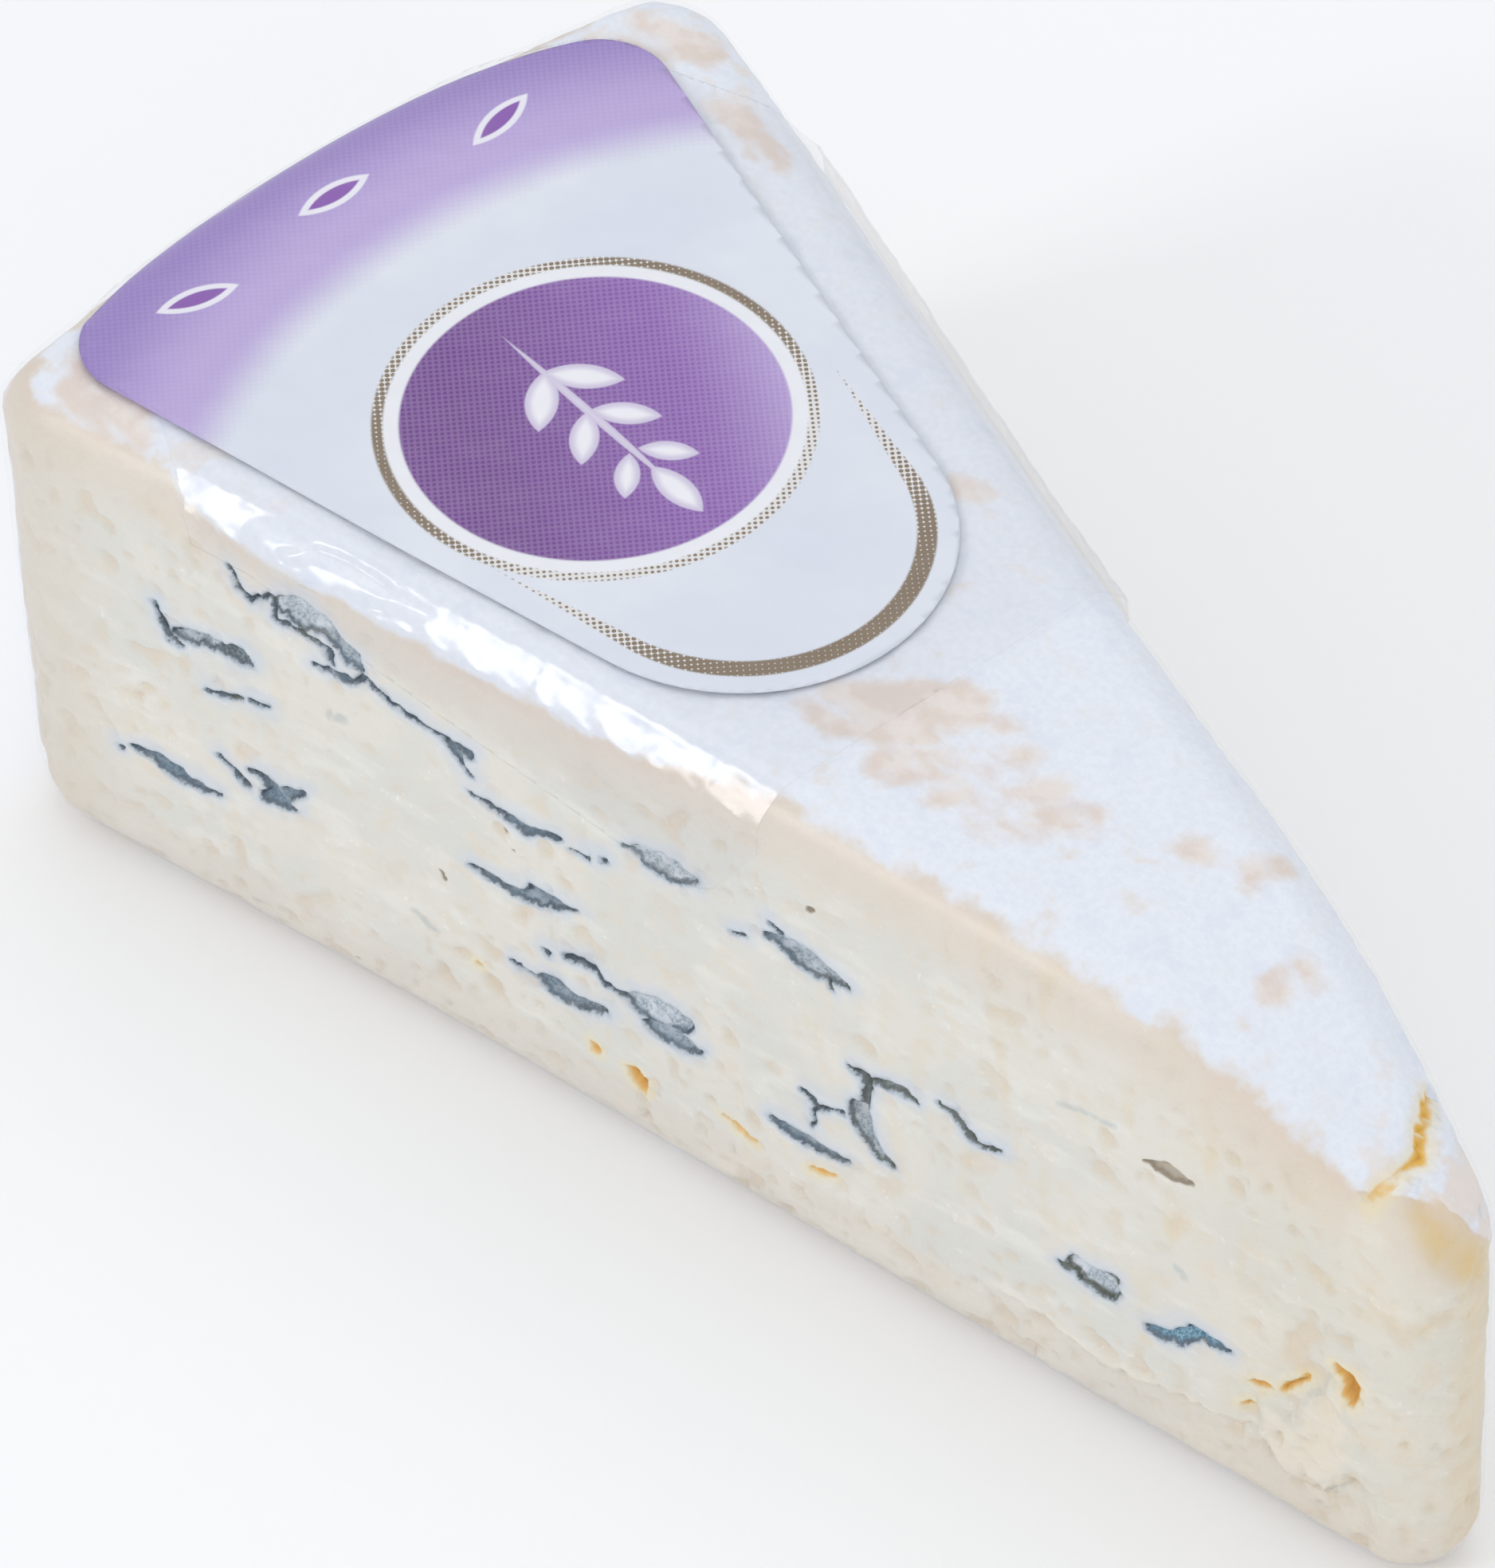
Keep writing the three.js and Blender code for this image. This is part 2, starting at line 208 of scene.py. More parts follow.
def settle(points):
    """Sinks the tip and dishes the cut faces, as the soft wedge does in its film."""
    x, y, z = points.T.copy()
    shoulder = WHEEL_HEIGHT - TOP_EDGE_RADIUS
    lifted = np.clip((z - BASE_EDGE_RADIUS) / (shoulder - BASE_EDGE_RADIUS), 0, 1)
    z = z + (rind_height(x, y) - WHEEL_HEIGHT) * lifted
    first = TIP_RADIUS / math.tan(HALF_ANGLE)
    last = WHEEL_RADIUS - RIM_CORNER_RADIUS
    moved = np.column_stack((x, y, z))
    for cut, sag, waves in ((NEAR_CUT, NEAR_SAG, 2), (FAR_CUT, FAR_SAG, 3)):
        run = along_face(cut)
        along = x * run[0] + y * run[1]
        share = np.clip((last - along) / (last - first), 0, 1)
        turned = math.copysign(FACE_WAVE, cut[1]) * np.sin(waves * math.pi * share)
        inwards = -(x * cut[0] + y * cut[1])
        weight = np.clip(1 - inwards / SAG_DEPTH, 0, 1) ** 2
        push = (sag * np.sin(math.pi * share) + turned) * weight
        moved[:, 0] += push * cut[0]
        moved[:, 1] += push * cut[1]
    return moved


tip_centre = (-tip_reach, 0.0)
wedge = cut_from_wheel("cheese")
for level, edge_radius in ((WHEEL_HEIGHT, TOP_EDGE_RADIUS), (0.0, BASE_EDGE_RADIUS)):
    select_parts(wedge, "edges", cap_edges(wedge, level))
    bpy.ops.mesh.bevel(offset=edge_radius * MM, segments=8, profile=0.5, affect="EDGES", clamp_overlap=False)
    set_mode("OBJECT")
run_modifier(wedge, "REMESH", mode="VOXEL", voxel_size=CHEESE_GRID * MM)
run_modifier(wedge, "SMOOTH", factor=0.5, iterations=3)

# The bare wedge is kept as it is now, because the film and the label lie over it.
wedge_places = spots(wedge)
wedge_places[wedge_places[:, 2] < 0.08, 2] = 0
move_spots(wedge, wedge_places)


def twin(piece, name):
    other = piece.copy()
    other.data = piece.data.copy()
    bpy.context.collection.objects.link(other)
    other.name = name
    return other


bare_wedge = twin(wedge, "bare_wedge")
move_spots(bare_wedge, settle(spots(bare_wedge)))

# Mould pockets of the near face. Each stroke starts with how pale its inside is, from 0 to 1, and more
# for blue green. Then come its points: how far along the face from the wheel's middle, how high up, and
# half its width there.
NEAR_MOULD = [
    (0.1, (111.4, 27.6, 0.1), (110.9, 26, 0.16), (110.2, 25, 0.22), (109.4, 24.8, 0.12)),
    (0.8, (110, 25.6, 0.2), (108.6, 26.1, 0.4), (107.1, 26.6, 0.4), (106.2, 26.8, 0.2)),
    (0.1, (106.2, 26.6, 0.3), (104.9, 26.8, 0.55), (103.8, 26.7, 0.25)),
    (0.1, (107.5, 22, 0.1), (106.5, 22.1, 0.2), (104.8, 22.8, 0.15)),
    (0.1, (104.1, 23, 0.1), (103.3, 23.2, 0.16), (102.6, 23.5, 0.08)),
    (0.2, (114.3, 12.3, 0.15), (112.9, 12.4, 0.34), (111.4, 12.1, 0.48), (109.9, 11.9, 0.4),
     (107.5, 12.1, 0.14)),
    (0.0, (115.5, 11.6, 0.14), (115.3, 11.6, 0.14)),
    (0.1, (107.2, 16.1, 0.15), (106.2, 15.4, 0.2), (105.2, 14.4, 0.2)),
    (0.2, (104.8, 16.2, 0.14), (103.9, 16.2, 0.22), (102.9, 15.5, 0.5), (102.4, 14.9, 0.5),
     (101.1, 14.7, 0.14)),
    (0.1, (103.8, 14.2, 0.28), (102.7, 15.1, 0.45), (100.3, 16.9, 0.16)),
    (0.6, (104.9, 34.8, 0.14), (104.3, 33.3, 0.16), (103.4, 32.7, 0.16), (102.5, 33.4, 0.14),
     (101.6, 34.3, 0.14)),
    (0.2, (101.5, 34.1, 0.15), (101.4, 32, 0.2), (99.6, 32.3, 0.18), (97.8, 31.7, 0.22), (97.2, 30.9, 0.2)),
    (1.0, (100.8, 33.8, 0.5), (99.4, 33.9, 0.85), (97.9, 33.9, 0.6)),
    (0.7, (98.1, 33.5, 0.25), (96.9, 33.3, 0.5), (95.9, 32.5, 0.65), (95, 31.9, 0.35)),
    (0.1, (98.7, 29.8, 0.12), (97.2, 29.9, 0.22), (95.5, 30.1, 0.2), (94.8, 31, 0.2)),
    (0.1, (94.9, 31.1, 0.24), (92.6, 30.2, 0.15), (90.7, 29.9, 0.15), (88.8, 29.7, 0.18), (86.6, 29.3, 0.3)),
    (0.5, (88.2, 29.2, 0.32), (87.5, 28.6, 0.28), (87.2, 28, 0.18), (86.5, 27.4, 0.1)),
    (0.3, (86.6, 25.8, 0.15), (84.9, 25.6, 0.2), (82.6, 25.2, 0.38), (81.3, 25.6, 0.28), (79.7, 26.1, 0.1)),
    (0.0, (78.9, 25.5, 0.1), (77.4, 26, 0.1)),
    (0.0, (76.4, 26.4, 0.14), (76, 26.6, 0.1)),
    (0.9, (74.5, 29, 0.2), (73.4, 29, 0.5), (72.1, 29, 0.68), (70.6, 29.2, 0.62), (69.3, 29.4, 0.32)),
    (0.4, (87, 18.8, 0.15), (85.7, 18.7, 0.28), (82.9, 18.6, 0.3), (81.8, 19.3, 0.55), (78.7, 20.2, 0.1)),
    (0.3, (84.1, 11.6, 0.15), (82.3, 11.1, 0.3), (81.1, 11.5, 0.55), (79.1, 11.2, 0.44), (76.9, 12, 0.26)),
    (0.0, (81.4, 14.5, 0.18), (81.2, 14.5, 0.18)),
    (0.1, (79.9, 15, 0.14), (78.5, 15.4, 0.2), (77.5, 15.3, 0.15), (76.5, 14.8, 0.15), (75.4, 14.4, 0.2)),
    (1.0, (75, 14.5, 0.3), (74, 14.6, 0.6), (72.5, 14.7, 0.9), (71, 15.1, 0.65)),
    (0.7, (73.2, 13.1, 0.36), (71.8, 13.2, 0.48), (70.5, 13.1, 0.44), (69.2, 13.4, 0.2)),
    (0.1, (66.4, 26.7, 0.08), (65.3, 27.1, 0.08)),
    (0.0, (63.5, 29.6, 0.1), (62.6, 29.2, 0.2)),
    (0.8, (63.6, 28.3, 0.2), (62.5, 28.3, 0.4), (61.3, 28.2, 0.62), (60.2, 27.9, 0.62), (57.8, 27.8, 0.28)),
    (0.1, (59, 27.5, 0.18), (58.8, 26.7, 0.12)),
    (0.2, (57.4, 20.3, 0.15), (56.4, 20.1, 0.22), (56.2, 19.3, 0.2), (56.4, 18.2, 0.24), (56.7, 17, 0.25)),
    (0.2, (56.2, 19.9, 0.18), (55.2, 20.5, 0.26), (54.3, 20.9, 0.34), (53.2, 21, 0.28), (52.3, 20.8, 0.1)),
    (0.8, (57, 16.6, 0.55), (56.6, 15.3, 0.55), (56.1, 14.4, 0.44), (55.4, 13.7, 0.34), (54.4, 13.3, 0.22)),
    (0.1, (61.3, 15.4, 0.14), (60.6, 15.1, 0.24), (60.2, 14.6, 0.18), (59.2, 15.2, 0.1), (58.2, 15.5, 0.12)),
    (0.1, (60.3, 14.4, 0.1), (60.6, 12.5, 0.09)),
    (0.3, (63.8, 11.1, 0.18), (62.7, 10.8, 0.34), (60.3, 10.7, 0.36), (59.2, 10.8, 0.3), (58.1, 11, 0.18)),
    (0.3, (50.6, 21.8, 0.14), (49.5, 21.6, 0.3), (48.7, 20.7, 0.25), (47.7, 20.1, 0.2), (46, 20.8, 0.1)),
    (0.4, (41.4, 13.5, 0.25), (40.4, 13.4, 0.2), (39, 14.5, 0.15), (37.5, 14.8, 0.28)),
    (0.2, (37.8, 12.9, 0.22), (38.8, 12.8, 0.2), (40.2, 13, 0.2)),
    (1.0, (40.3, 14.1, 0.5), (38.8, 13.8, 0.6), (37.8, 13.9, 0.5)),
    (1.6, (35, 12.2, 0.22), (34, 12.1, 0.36), (32.8, 12.8, 0.42), (31.6, 14, 0.44), (29.1, 14.2, 0.2)),
]

# Brownish pockets with no blue in them
NEAR_TAN = [
    ((35.3, 27.6, 0.1), (34.6, 27.6, 0.32), (33.5, 27.9, 0.48), (32.6, 28.0, 0.36), (31.9, 27.9, 0.1)),
    ((60.3, 33, 0.2), (60.1, 33.1, 0.2)),
    ((89.5, 16.5, 0.12), (89.3, 16.1, 0.18)),
    ((84.4, 23.7, 0.06), (84.2, 23.5, 0.08)),
    ((83.6, 22.5, 0.08), (83.5, 22.4, 0.08)),
]
# Faint grey marks, where mould shows through from under the surface
NEAR_SMUDGES = [
    ((92.0, 11.3, 0.1), (90.5, 10.5, 0.25)),
    ((97.8, 25.8, 0.1), (96.7, 26.1, 0.25)),
    ((41.5, 28.2, 0.05), (40.2, 28.8, 0.12), (37.6, 29.2, 0.05)),
    ((32.8, 19.3, 0.1), (32.3, 18.8, 0.1)),
]
# Ochre holes, low on the face
NEAR_OCHRE = [
    ((27.2, 12.3, 0.26), (26.3, 13, 0.3)),
    ((25, 13.5, 0.16), (23.5, 15.7, 0.2)),
    ((21, 18.7, 0.28), (20.4, 17.8, 0.55), (20.2, 15.7, 0.22)),
    ((28, 9.8, 0.16), (27.5, 10.1, 0.16)),
    ((77.9, 8.1, 0.2), (77.8, 7.7, 0.24)),
    ((75.2, 7.7, 0.18), (74.5, 7.3, 0.45), (74.1, 6.4, 0.26)),
    ((60.7, 8.2, 0.12), (59.9, 8.7, 0.18), (59.1, 8.9, 0.12)),
    ((67.7, 8.5, 0.08), (66.5, 7.9, 0.1), (65.4, 7.5, 0.12)),
    ((87.1, 9.5, 0.16), (86.9, 9.5, 0.16)),
]
# The torn patch close to the tip
NEAR_TEARS = [
    ((26.0, 10.8, 0.8), (24.4, 8.2, 2.4), (22.4, 9.4, 2.2), (21.9, 12.6, 2.0), (21.2, 15.6, 0.9)),
]
# Folds, with painted ochre shade along them, and stains. Along the face, the count runs on round the tip.
# The first stroke is the painted shadow where the rind curls over at the tip. Each starts with how strong
# its ochre is.
NEAR_FOLDS = [
    (1.0, (18.1, 34.2, 0.4), (16.6, 34.0, 0.9), (14.9, 33.0, 1.3), (13.2, 31.2, 1.5), (9.9, 27, 1.2)),
    (0.4, (17.1, 24.2, 0.05), (16.1, 25, 0.12), (14.6, 25.5, 0.22), (13, 25.4, 0.4), (11.4, 24, 0.2)),
    (0.3, (13, 22.9, 0.15), (11.8, 21.6, 0.3)),
    (0.3, (16.4, 12.7, 0.08), (14.3, 11.9, 0.15), (12.5, 11.3, 0.3), (11.3, 10.4, 0.2)),
    (0.1, (19.6, 8, 0.05), (18.3, 7.9, 0.12), (16.3, 8.5, 0.1), (14.7, 7.7, 0.15), (13.6, 7, 0.1)),
    (0.6, (12.4, 6.5, 0.6), (11.6, 6, 0.5)),
    (0.5, (24, 26.9, 0.15), (23.3, 26.3, 0.3), (22.7, 25.8, 0.2)),
    (0.2, (23.4, 34.4, 0.2), (22.4, 34.3, 0.25)),
    (0.2, (19.3, 24.7, 0.3), (18.9, 24.6, 0.2)),
    (0.4, (46.1, 33.5, 0.3), (45.9, 33.4, 0.3)),
    (0.4, (44.7, 32.3, 0.25), (44.5, 32.1, 0.25)),
    (0.35, (36.2, 33.7, 0.1), (36.6, 30.2, 0.15)),
    (0.3, (112, 36.2, 0.05), (110.3, 36.3, 0.15), (108.6, 35.4, 0.2), (107, 34.8, 0.05)),
]
# The paste's torn lip above the base, by the tip. Below it the face steps back.
LIP_ALONG = (17.0, 20.1, 21.5, 24.2, 25.7, 26.6, 29.5, 34.6, 37.9, 43.9, 50.0)
LIP_UP = (9.0, 8.5, 6.2, 5.0, 6.3, 7.9, 7.6, 6.7, 5.8, 7.1, 7.2)
LIP_STEP = 0.6

# Pockets of the far face follow the same seeded rule as the solid's. The shift is drawn along and up the
# face. Of a length or width the first number is the least, and up to the second is drawn on top.
FAR_ROWS = (9.5, 16.5, 23.5, 30.0)
FAR_POCKET_SHIFT = (5.0, 3.0)
FAR_POCKET_LENGTH = (4.0, 4.5)
FAR_POCKET_WIDTH = (1.2, 1.5)
FAR_POCKET_TILT = 40.0
FAR_POCKET_STEP = 17.0
FAR_POCKET_FIRST = 38.0
FAR_POCKET_LAST = 112.0
SEED = 7


def seeded_draw(seed):
    state = seed
    while True:
        state = state * 16807 % 2147483647
        yield state / 2147483647


def far_mould():
    """The far face's strokes: a crooked pocket in each place, and on some a thin vein at one end."""
    draw = seeded_draw(SEED)
    more = seeded_draw(SEED * 31)
    strokes = []
    for row, up in enumerate(FAR_ROWS):
        along = FAR_POCKET_FIRST + (row % 2) * FAR_POCKET_STEP / 2
        while along < FAR_POCKET_LAST:
            s = along + FAR_POCKET_SHIFT[0] * (next(draw) - 0.5)
            z = up + FAR_POCKET_SHIFT[1] * (next(draw) - 0.5)
            reach = (FAR_POCKET_LENGTH[0] + FAR_POCKET_LENGTH[1] * next(draw)) / 2
            wide = (FAR_POCKET_WIDTH[0] + FAR_POCKET_WIDTH[1] * next(draw)) / 2
            tilt = math.radians(FAR_POCKET_TILT * (next(draw) - 0.5))
            next(draw)  # the solid draws a depth here
            pale = next(more)
            points = []
            for share in (-0.95, -0.5, 0.0, 0.45, 0.95):
                bend = wide * 1.3 * (next(more) - 0.5)
                half = max(0.1, wide * 0.72 * (1 - share ** 2) * (0.6 + 0.6 * next(more)))
                step_s = share * reach * math.cos(tilt) - bend * math.sin(tilt)
                step_z = share * reach * math.sin(tilt) + bend * math.cos(tilt)
                points.append((s + step_s, z + step_z, half))
            strokes.append((pale, *points))
            if next(more) > 0.4:
                turn = tilt + math.radians(150 * (next(more) - 0.5))
                side = 1 if next(more) > 0.5 else -1
                start = points[4] if side > 0 else points[0]
                ends = []
                for step in (0.5, 1.0):
                    run = side * step * (1.2 + 1.6 * next(more))
                    half = 0.16 - 0.08 * step
                    ends.append((start[0] + run * math.cos(turn), start[1] + run * math.sin(turn), half))
                    turn += math.radians(70 * (next(more) - 0.5))
                strokes.append((0.1, (*start[:2], 0.2), *ends))
            along += FAR_POCKET_STEP
    return strokes


def opened(half_width):
    """A pocket gapes more the wider it is."""
    return half_width * (1.12 + 0.45 * min(1, max(0, (half_width - 0.15) / 0.4)))


def stroke_field(along, up, strokes, widest=4.0, swell=float):
    """Millimetres from each point to the edge of the nearest stroke, less inside it, and its paleness.

    A stroke whose first item is a point has a paleness of 0.
    """
    field = np.full(len(along), widest)
    pale = np.zeros(len(along))
    for stroke in strokes:
        paleness, points = (stroke[0], stroke[1:]) if np.isscalar(stroke[0]) else (0.0, stroke)
        for (s0, z0, w0), (s1, z1, w1) in zip(points, points[1:]):
            ds, dz = s1 - s0, z1 - z0
            share = np.clip(((along - s0) * ds + (up - z0) * dz) / (ds * ds + dz * dz), 0, 1)
            half = swell(w0) + share * (swell(w1) - swell(w0))
            gap = np.hypot(along - s0 - share * ds, up - z0 - share * dz) - half
            nearer = gap < field
            field[nearer] = gap[nearer]
            pale[nearer] = paleness
    return field, pale


def grain(points, size, seed=0.0):
    """Smooth noise from -1 to 1 at each point, with lumps of a size in millimetres."""
    shift = Vector((seed, seed * 1.7, -seed))
    return np.array([noise.noise(Vector(p) / size + shift) for p in points])


def ease(value, low, high):
    share = np.clip((value - low) / (high - low), 0, 1)
    return share * share * (3 - 2 * share)


def face_places(points, cut):
    """Along a cut face, up it, and how far in front of it each point lies."""
    run = along_face(cut)
    along = points[:, 0] * run[0] + points[:, 1] * run[1]
    front = points[:, 0] * cut[0] + points[:, 1] * cut[1]
    return along, points[:, 2], front


FACE_EDGE = 1.8
FACE_START = 8.0


def on_face(points, cut):
    """Which points lie on a cut face, up to the rounded edges."""
    along, up, front = face_places(points, cut)
    return (front > -FACE_EDGE) & (along > FACE_START)


def round_tip(points):
    """The near face's places, counted on round the tip as if it were unrolled."""
    along, up, front = face_places(points, NEAR_CUT)
    first = TIP_RADIUS / math.tan(HALF_ANGLE)
    turn = np.arctan2(points[:, 1], points[:, 0] + tip_reach) + math.pi / 2 - HALF_ANGLE
    at_tip = (along < first) & (points[:, 0] > -tip_reach)
    return np.where(at_tip, first - TIP_RADIUS * turn, along), up, at_tip


def subdivide_where(piece, wanted_spots):
    centres = listed(piece.data.polygons, "center", 3).astype(float) / MM - (WHEEL_X, 0, 0)
    select_parts(piece, "polygons", wanted_spots(centres))
    bpy.ops.mesh.subdivide(number_cuts=1)
    set_mode("OBJECT")


# Where the faces are made finer: between these heights, and this close to a stroke and to the face
DETAIL_LOW = 3.0
DETAIL_HIGH = 36.5
STROKE_ZONE = 0.5
FACE_ZONE = 2.5


def near_detail(points):
    along, up, at_tip = round_tip(points)
    return (on_face(points, NEAR_CUT) | at_tip) & (up > DETAIL_LOW) & (up < DETAIL_HIGH)


def close_to_strokes(points):
    settled = settle(points)
    close = np.zeros(len(points), dtype=bool)
    near_strokes = NEAR_MOULD + NEAR_TAN + NEAR_OCHRE
    for cut, strokes, swell in ((NEAR_CUT, near_strokes, opened), (FAR_CUT, far_strokes, float)):
        along, up, front = face_places(settled, cut)
        close |= (stroke_field(along, up, strokes, swell=swell)[0] < STROKE_ZONE) & (front > -FACE_ZONE)
    return close


far_strokes = far_mould()
subdivide_where(wedge, near_detail)
subdivide_where(wedge, close_to_strokes)

# The bottom is flat, so it needs few faces.
select_parts(wedge, "polygons", listed(wedge.data.polygons, "center", 3)[:, 2] < 0.01 * MM)
bpy.ops.mesh.dissolve_limited(angle_limit=math.radians(1))
set_mode("OBJECT")

wheel_places = spots(wedge)
top_depth = WHEEL_HEIGHT - wheel_places[:, 2]
base_height = wheel_places[:, 2].copy()
rim_depth = WHEEL_RADIUS - np.hypot(wheel_places[:, 0], wheel_places[:, 1])
move_spots(wedge, settle(wheel_places))
places = spots(wedge)
outwards = directions(wedge)

# Marks on the rind, seen from above: the ochre crack at the tip, and patches where the white is worn off
CRACK = [
    ((-19.8, -3.2, 0.2), (-19.8, -1.6, 0.3), (-19.9, 0, 0.25), (-19.9, 1, 0.4), (-21.6, 2.7, 0.35),
     (-23.1, 4.7, 0.15)),
]
RIND_PATCHES = [
    ((-65.5, -5.8, 1.5), (-62.8, -3.2, 2.2), (-60.8, 0, 1.5)),
    ((-60, -6.2, 0.5), (-58.2, -4, 0.9), (-56.3, -1.8, 0.4)),
    ((-55.8, -5.4, 0.4), (-53.8, -3, 0.45)),
    ((-52.9, -1.1, 0.5), (-51.8, 0.2, 0.45)),
    ((-50.4, -1.6, 0.5), (-48.8, 0.3, 0.4)),
    ((-52.4, -5.2, 0.3), (-50.8, -3.3, 0.2)),
    ((-32.6, -0.1, 0.35), (-32.4, 2.6, 0.6)),
    ((-39.2, 4.6, 0.3), (-38.9, 6.6, 0.3)),
    ((-76, 10.6, 0.4), (-73.6, 12.2, 0.5)),
    ((-57.7, 1.1, 0.2), (-57.6, 1.3, 0.2)),
    ((-43.2, 2.9, 0.3), (-42.6, 3.6, 0.4)),
    ((-55, 0.3, 0.2), (-54.8, 0.6, 0.2)),
    ((-119.5, -19, 0.8), (-116, -23.5, 1.6), (-111.5, -23.8, 0.8)),
    ((-122.5, -8, 0.3), (-121.8, -13.5, 0.9)),
    ((-109, 21.8, 0.6), (-104, 21.2, 0.4)),
    ((-118, 22, 1.5), (-114.5, 24, 1.0)),
]

# How far each vertex lies from each kind of mark, in millimetres, and less than 0 inside it
FAR_AWAY = 4.0
PATCH_FAR_AWAY = 6.0
field_near, field_far, bloom, tan, ochre, tear, fold, smudge, lip_gap, crack = np.full(
    (10, len(places)), FAR_AWAY)
patch = np.full(len(places), PATCH_FAR_AWAY)
pale, shaded, stain_and_shade, tear_side, lip_here = np.zeros((5, len(places)))
tip_mask = round_tip(places)[2]
near_mask = on_face(places, NEAR_CUT) | tip_mask
far_mask = on_face(places, FAR_CUT)
wobble_a = grain(places[near_mask], 0.8, 3.0)
wobble_b = grain(places[near_mask], 0.8, 9.0)
fine_a = grain(places[near_mask], 0.33, 5.0)
s, z, at_tip = round_tip(places[near_mask])
s = s + 0.22 * wobble_a + 0.07 * fine_a
z = z + 0.22 * wobble_b - 0.07 * fine_a
BLOOM_SHIFT = (0.25, -0.45)
SHADE_SHIFT = (-0.08, 0.2)


def mark_pockets(mask, s, z, strokes, swell):
    """The field of a face's pockets, the same field moved for their bloom, and their shaded side."""
    field, pale[mask] = stroke_field(s, z, strokes, swell=swell)
    bloom[mask] = stroke_field(s + BLOOM_SHIFT[0], z + BLOOM_SHIFT[1], strokes, swell=swell)[0]
    shaded[mask] = stroke_field(s + SHADE_SHIFT[0], z + SHADE_SHIFT[1], strokes, swell=swell)[0] - field
    return field


field_near[near_mask] = mark_pockets(near_mask, s, z, NEAR_MOULD, opened) + 0.05 * fine_a
tan[near_mask] = stroke_field(s, z, NEAR_TAN, swell=opened)[0]
ochre[near_mask] = stroke_field(s, z, NEAR_OCHRE, swell=opened)[0] + 0.08 * fine_a
smudge[near_mask] = stroke_field(s, z, NEAR_SMUDGES)[0]
tear[near_mask] = stroke_field(s + 0.5 * wobble_b, z + 0.5 * wobble_a, NEAR_TEARS)[0]
tear_side[near_mask] = ease(s + z * 0.3, 23.5, 26.5)
fold_field, fold_shade_and_stain = stroke_field(s + 0.3 * wobble_b, z + 0.3 * wobble_a, NEAR_FOLDS)
fold[near_mask] = fold_field
# Painted ochre shade along the folds and under the curl, with the stains among them
stain_and_shade[near_mask] = (1 - ease(fold_field, -1.2, 1.1)) * fold_shade_and_stain
streaks = ease(grain(np.column_stack((s, z * 0.18, s * 0)), 1.5, 81.0), 0.05, 0.6)
streaks *= ease(-s, -64.0, -50.0) * ease(s, 22.0, 30.0) * ease(z, 6.0, 12.0)
stain_and_shade[near_mask] = np.maximum(stain_and_shade[near_mask], 0.22 * streaks)
lip_s = s + 0.5 * wobble_b
lip_gap[near_mask] = z + 0.5 * wobble_a + 0.15 * fine_a - np.interp(lip_s, LIP_ALONG, LIP_UP)
lip_here[near_mask] = ease(lip_s, 17.5, 20.0) * ease(-lip_s, -50.0, -42.0)
s, z, front = face_places(places[far_mask], FAR_CUT)
s = s + 0.3 * grain(places[far_mask], 1.1, 13.0)
z = z + 0.3 * grain(places[far_mask], 1.1, 17.0)
field_far[far_mask] = mark_pockets(far_mask, s, z, far_strokes, float)
mould = np.minimum(field_near, field_far)

top_mask = outwards[:, 2] > 0.5
wobble_a = grain(places[top_mask], 1.4, 21.0)
wobble_b = grain(places[top_mask], 1.4, 27.0)
x, y = places[top_mask, 0], places[top_mask, 1]
crack[top_mask] = stroke_field(x + 0.25 * wobble_a, y + 0.25 * wobble_b, CRACK)[0]
patch[top_mask] = stroke_field(x + 0.9 * wobble_a, y + 0.9 * wobble_b, RIND_PATCHES, PATCH_FAR_AWAY)[0]

# Relief, in millimetres outwards. Each kind of mark has its depth.
POCKET_DEPTH = 0.4
POCKET_RIM_DEPTH = 0.22
TAN_DEPTH = 0.5
OCHRE_DEPTH = 0.7
FOLD_DEPTH = 0.25
TEAR_GROOVE_DEPTH = 0.4
CRACK_DEPTH = 0.55
PATCH_DEPTH = 0.1
PIT_DEPTH = 0.36
MOST_OUTWARDS = 0.03
cut_side = (near_mask | far_mask).astype(float)
upright = 1 - np.clip(np.abs(outwards[:, 2]) * 1.4, 0, 1)
deep = POCKET_DEPTH * ease(-mould, -0.12, 0.55) + POCKET_RIM_DEPTH * ease(-mould, -0.1, 0.15)
deep -= 0.3 * ease(-mould, 0.1, 0.5) * grain(places, 0.7, 51.0)
deep += TAN_DEPTH * ease(-tan, -0.1, 0.4)
deep += OCHRE_DEPTH * ease(-ochre, -0.15, 0.35)
deep += FOLD_DEPTH * ease(-fold, -0.8, 0.8)
deep += TEAR_GROOVE_DEPTH * ease(tear, -0.1, 0.3) * ease(-tear, -2.4, -0.5) * tear_side
deep += LIP_STEP * ease(-lip_gap, -0.1, 0.2) * ease(places[:, 2], 1.0, 3.5) * lip_here
relief = -deep
lumps = grain(places, 7.0, 2.0)
soft = grain(places, 2.2, 4.0)
fine = grain(places, 0.9, 6.0)
crumbly = ease(grain(places, 9.0, 71.0), -0.25, 0.3) + ease(-base_height, -12.0, -5.0)
pits = ease(grain(places, 1.7, 61.0), 0.2, 0.6) + 0.5 * ease(grain(places, 0.9, 67.0), 0.3, 0.6)
pits = np.minimum(pits, 1.2) * (0.35 + 0.5 * crumbly)
paste = (0.12 * soft + 0.07 * fine) * (0.6 + 0.4 * crumbly) - PIT_DEPTH * pits + 0.06 * lumps - 0.14
rind = 0.10 * soft + 0.05 * fine + 0.12 * lumps - 0.16
relief += np.where(cut_side * upright > 0.3, paste, rind)
torn = ease(-tear, -0.1, 0.9)
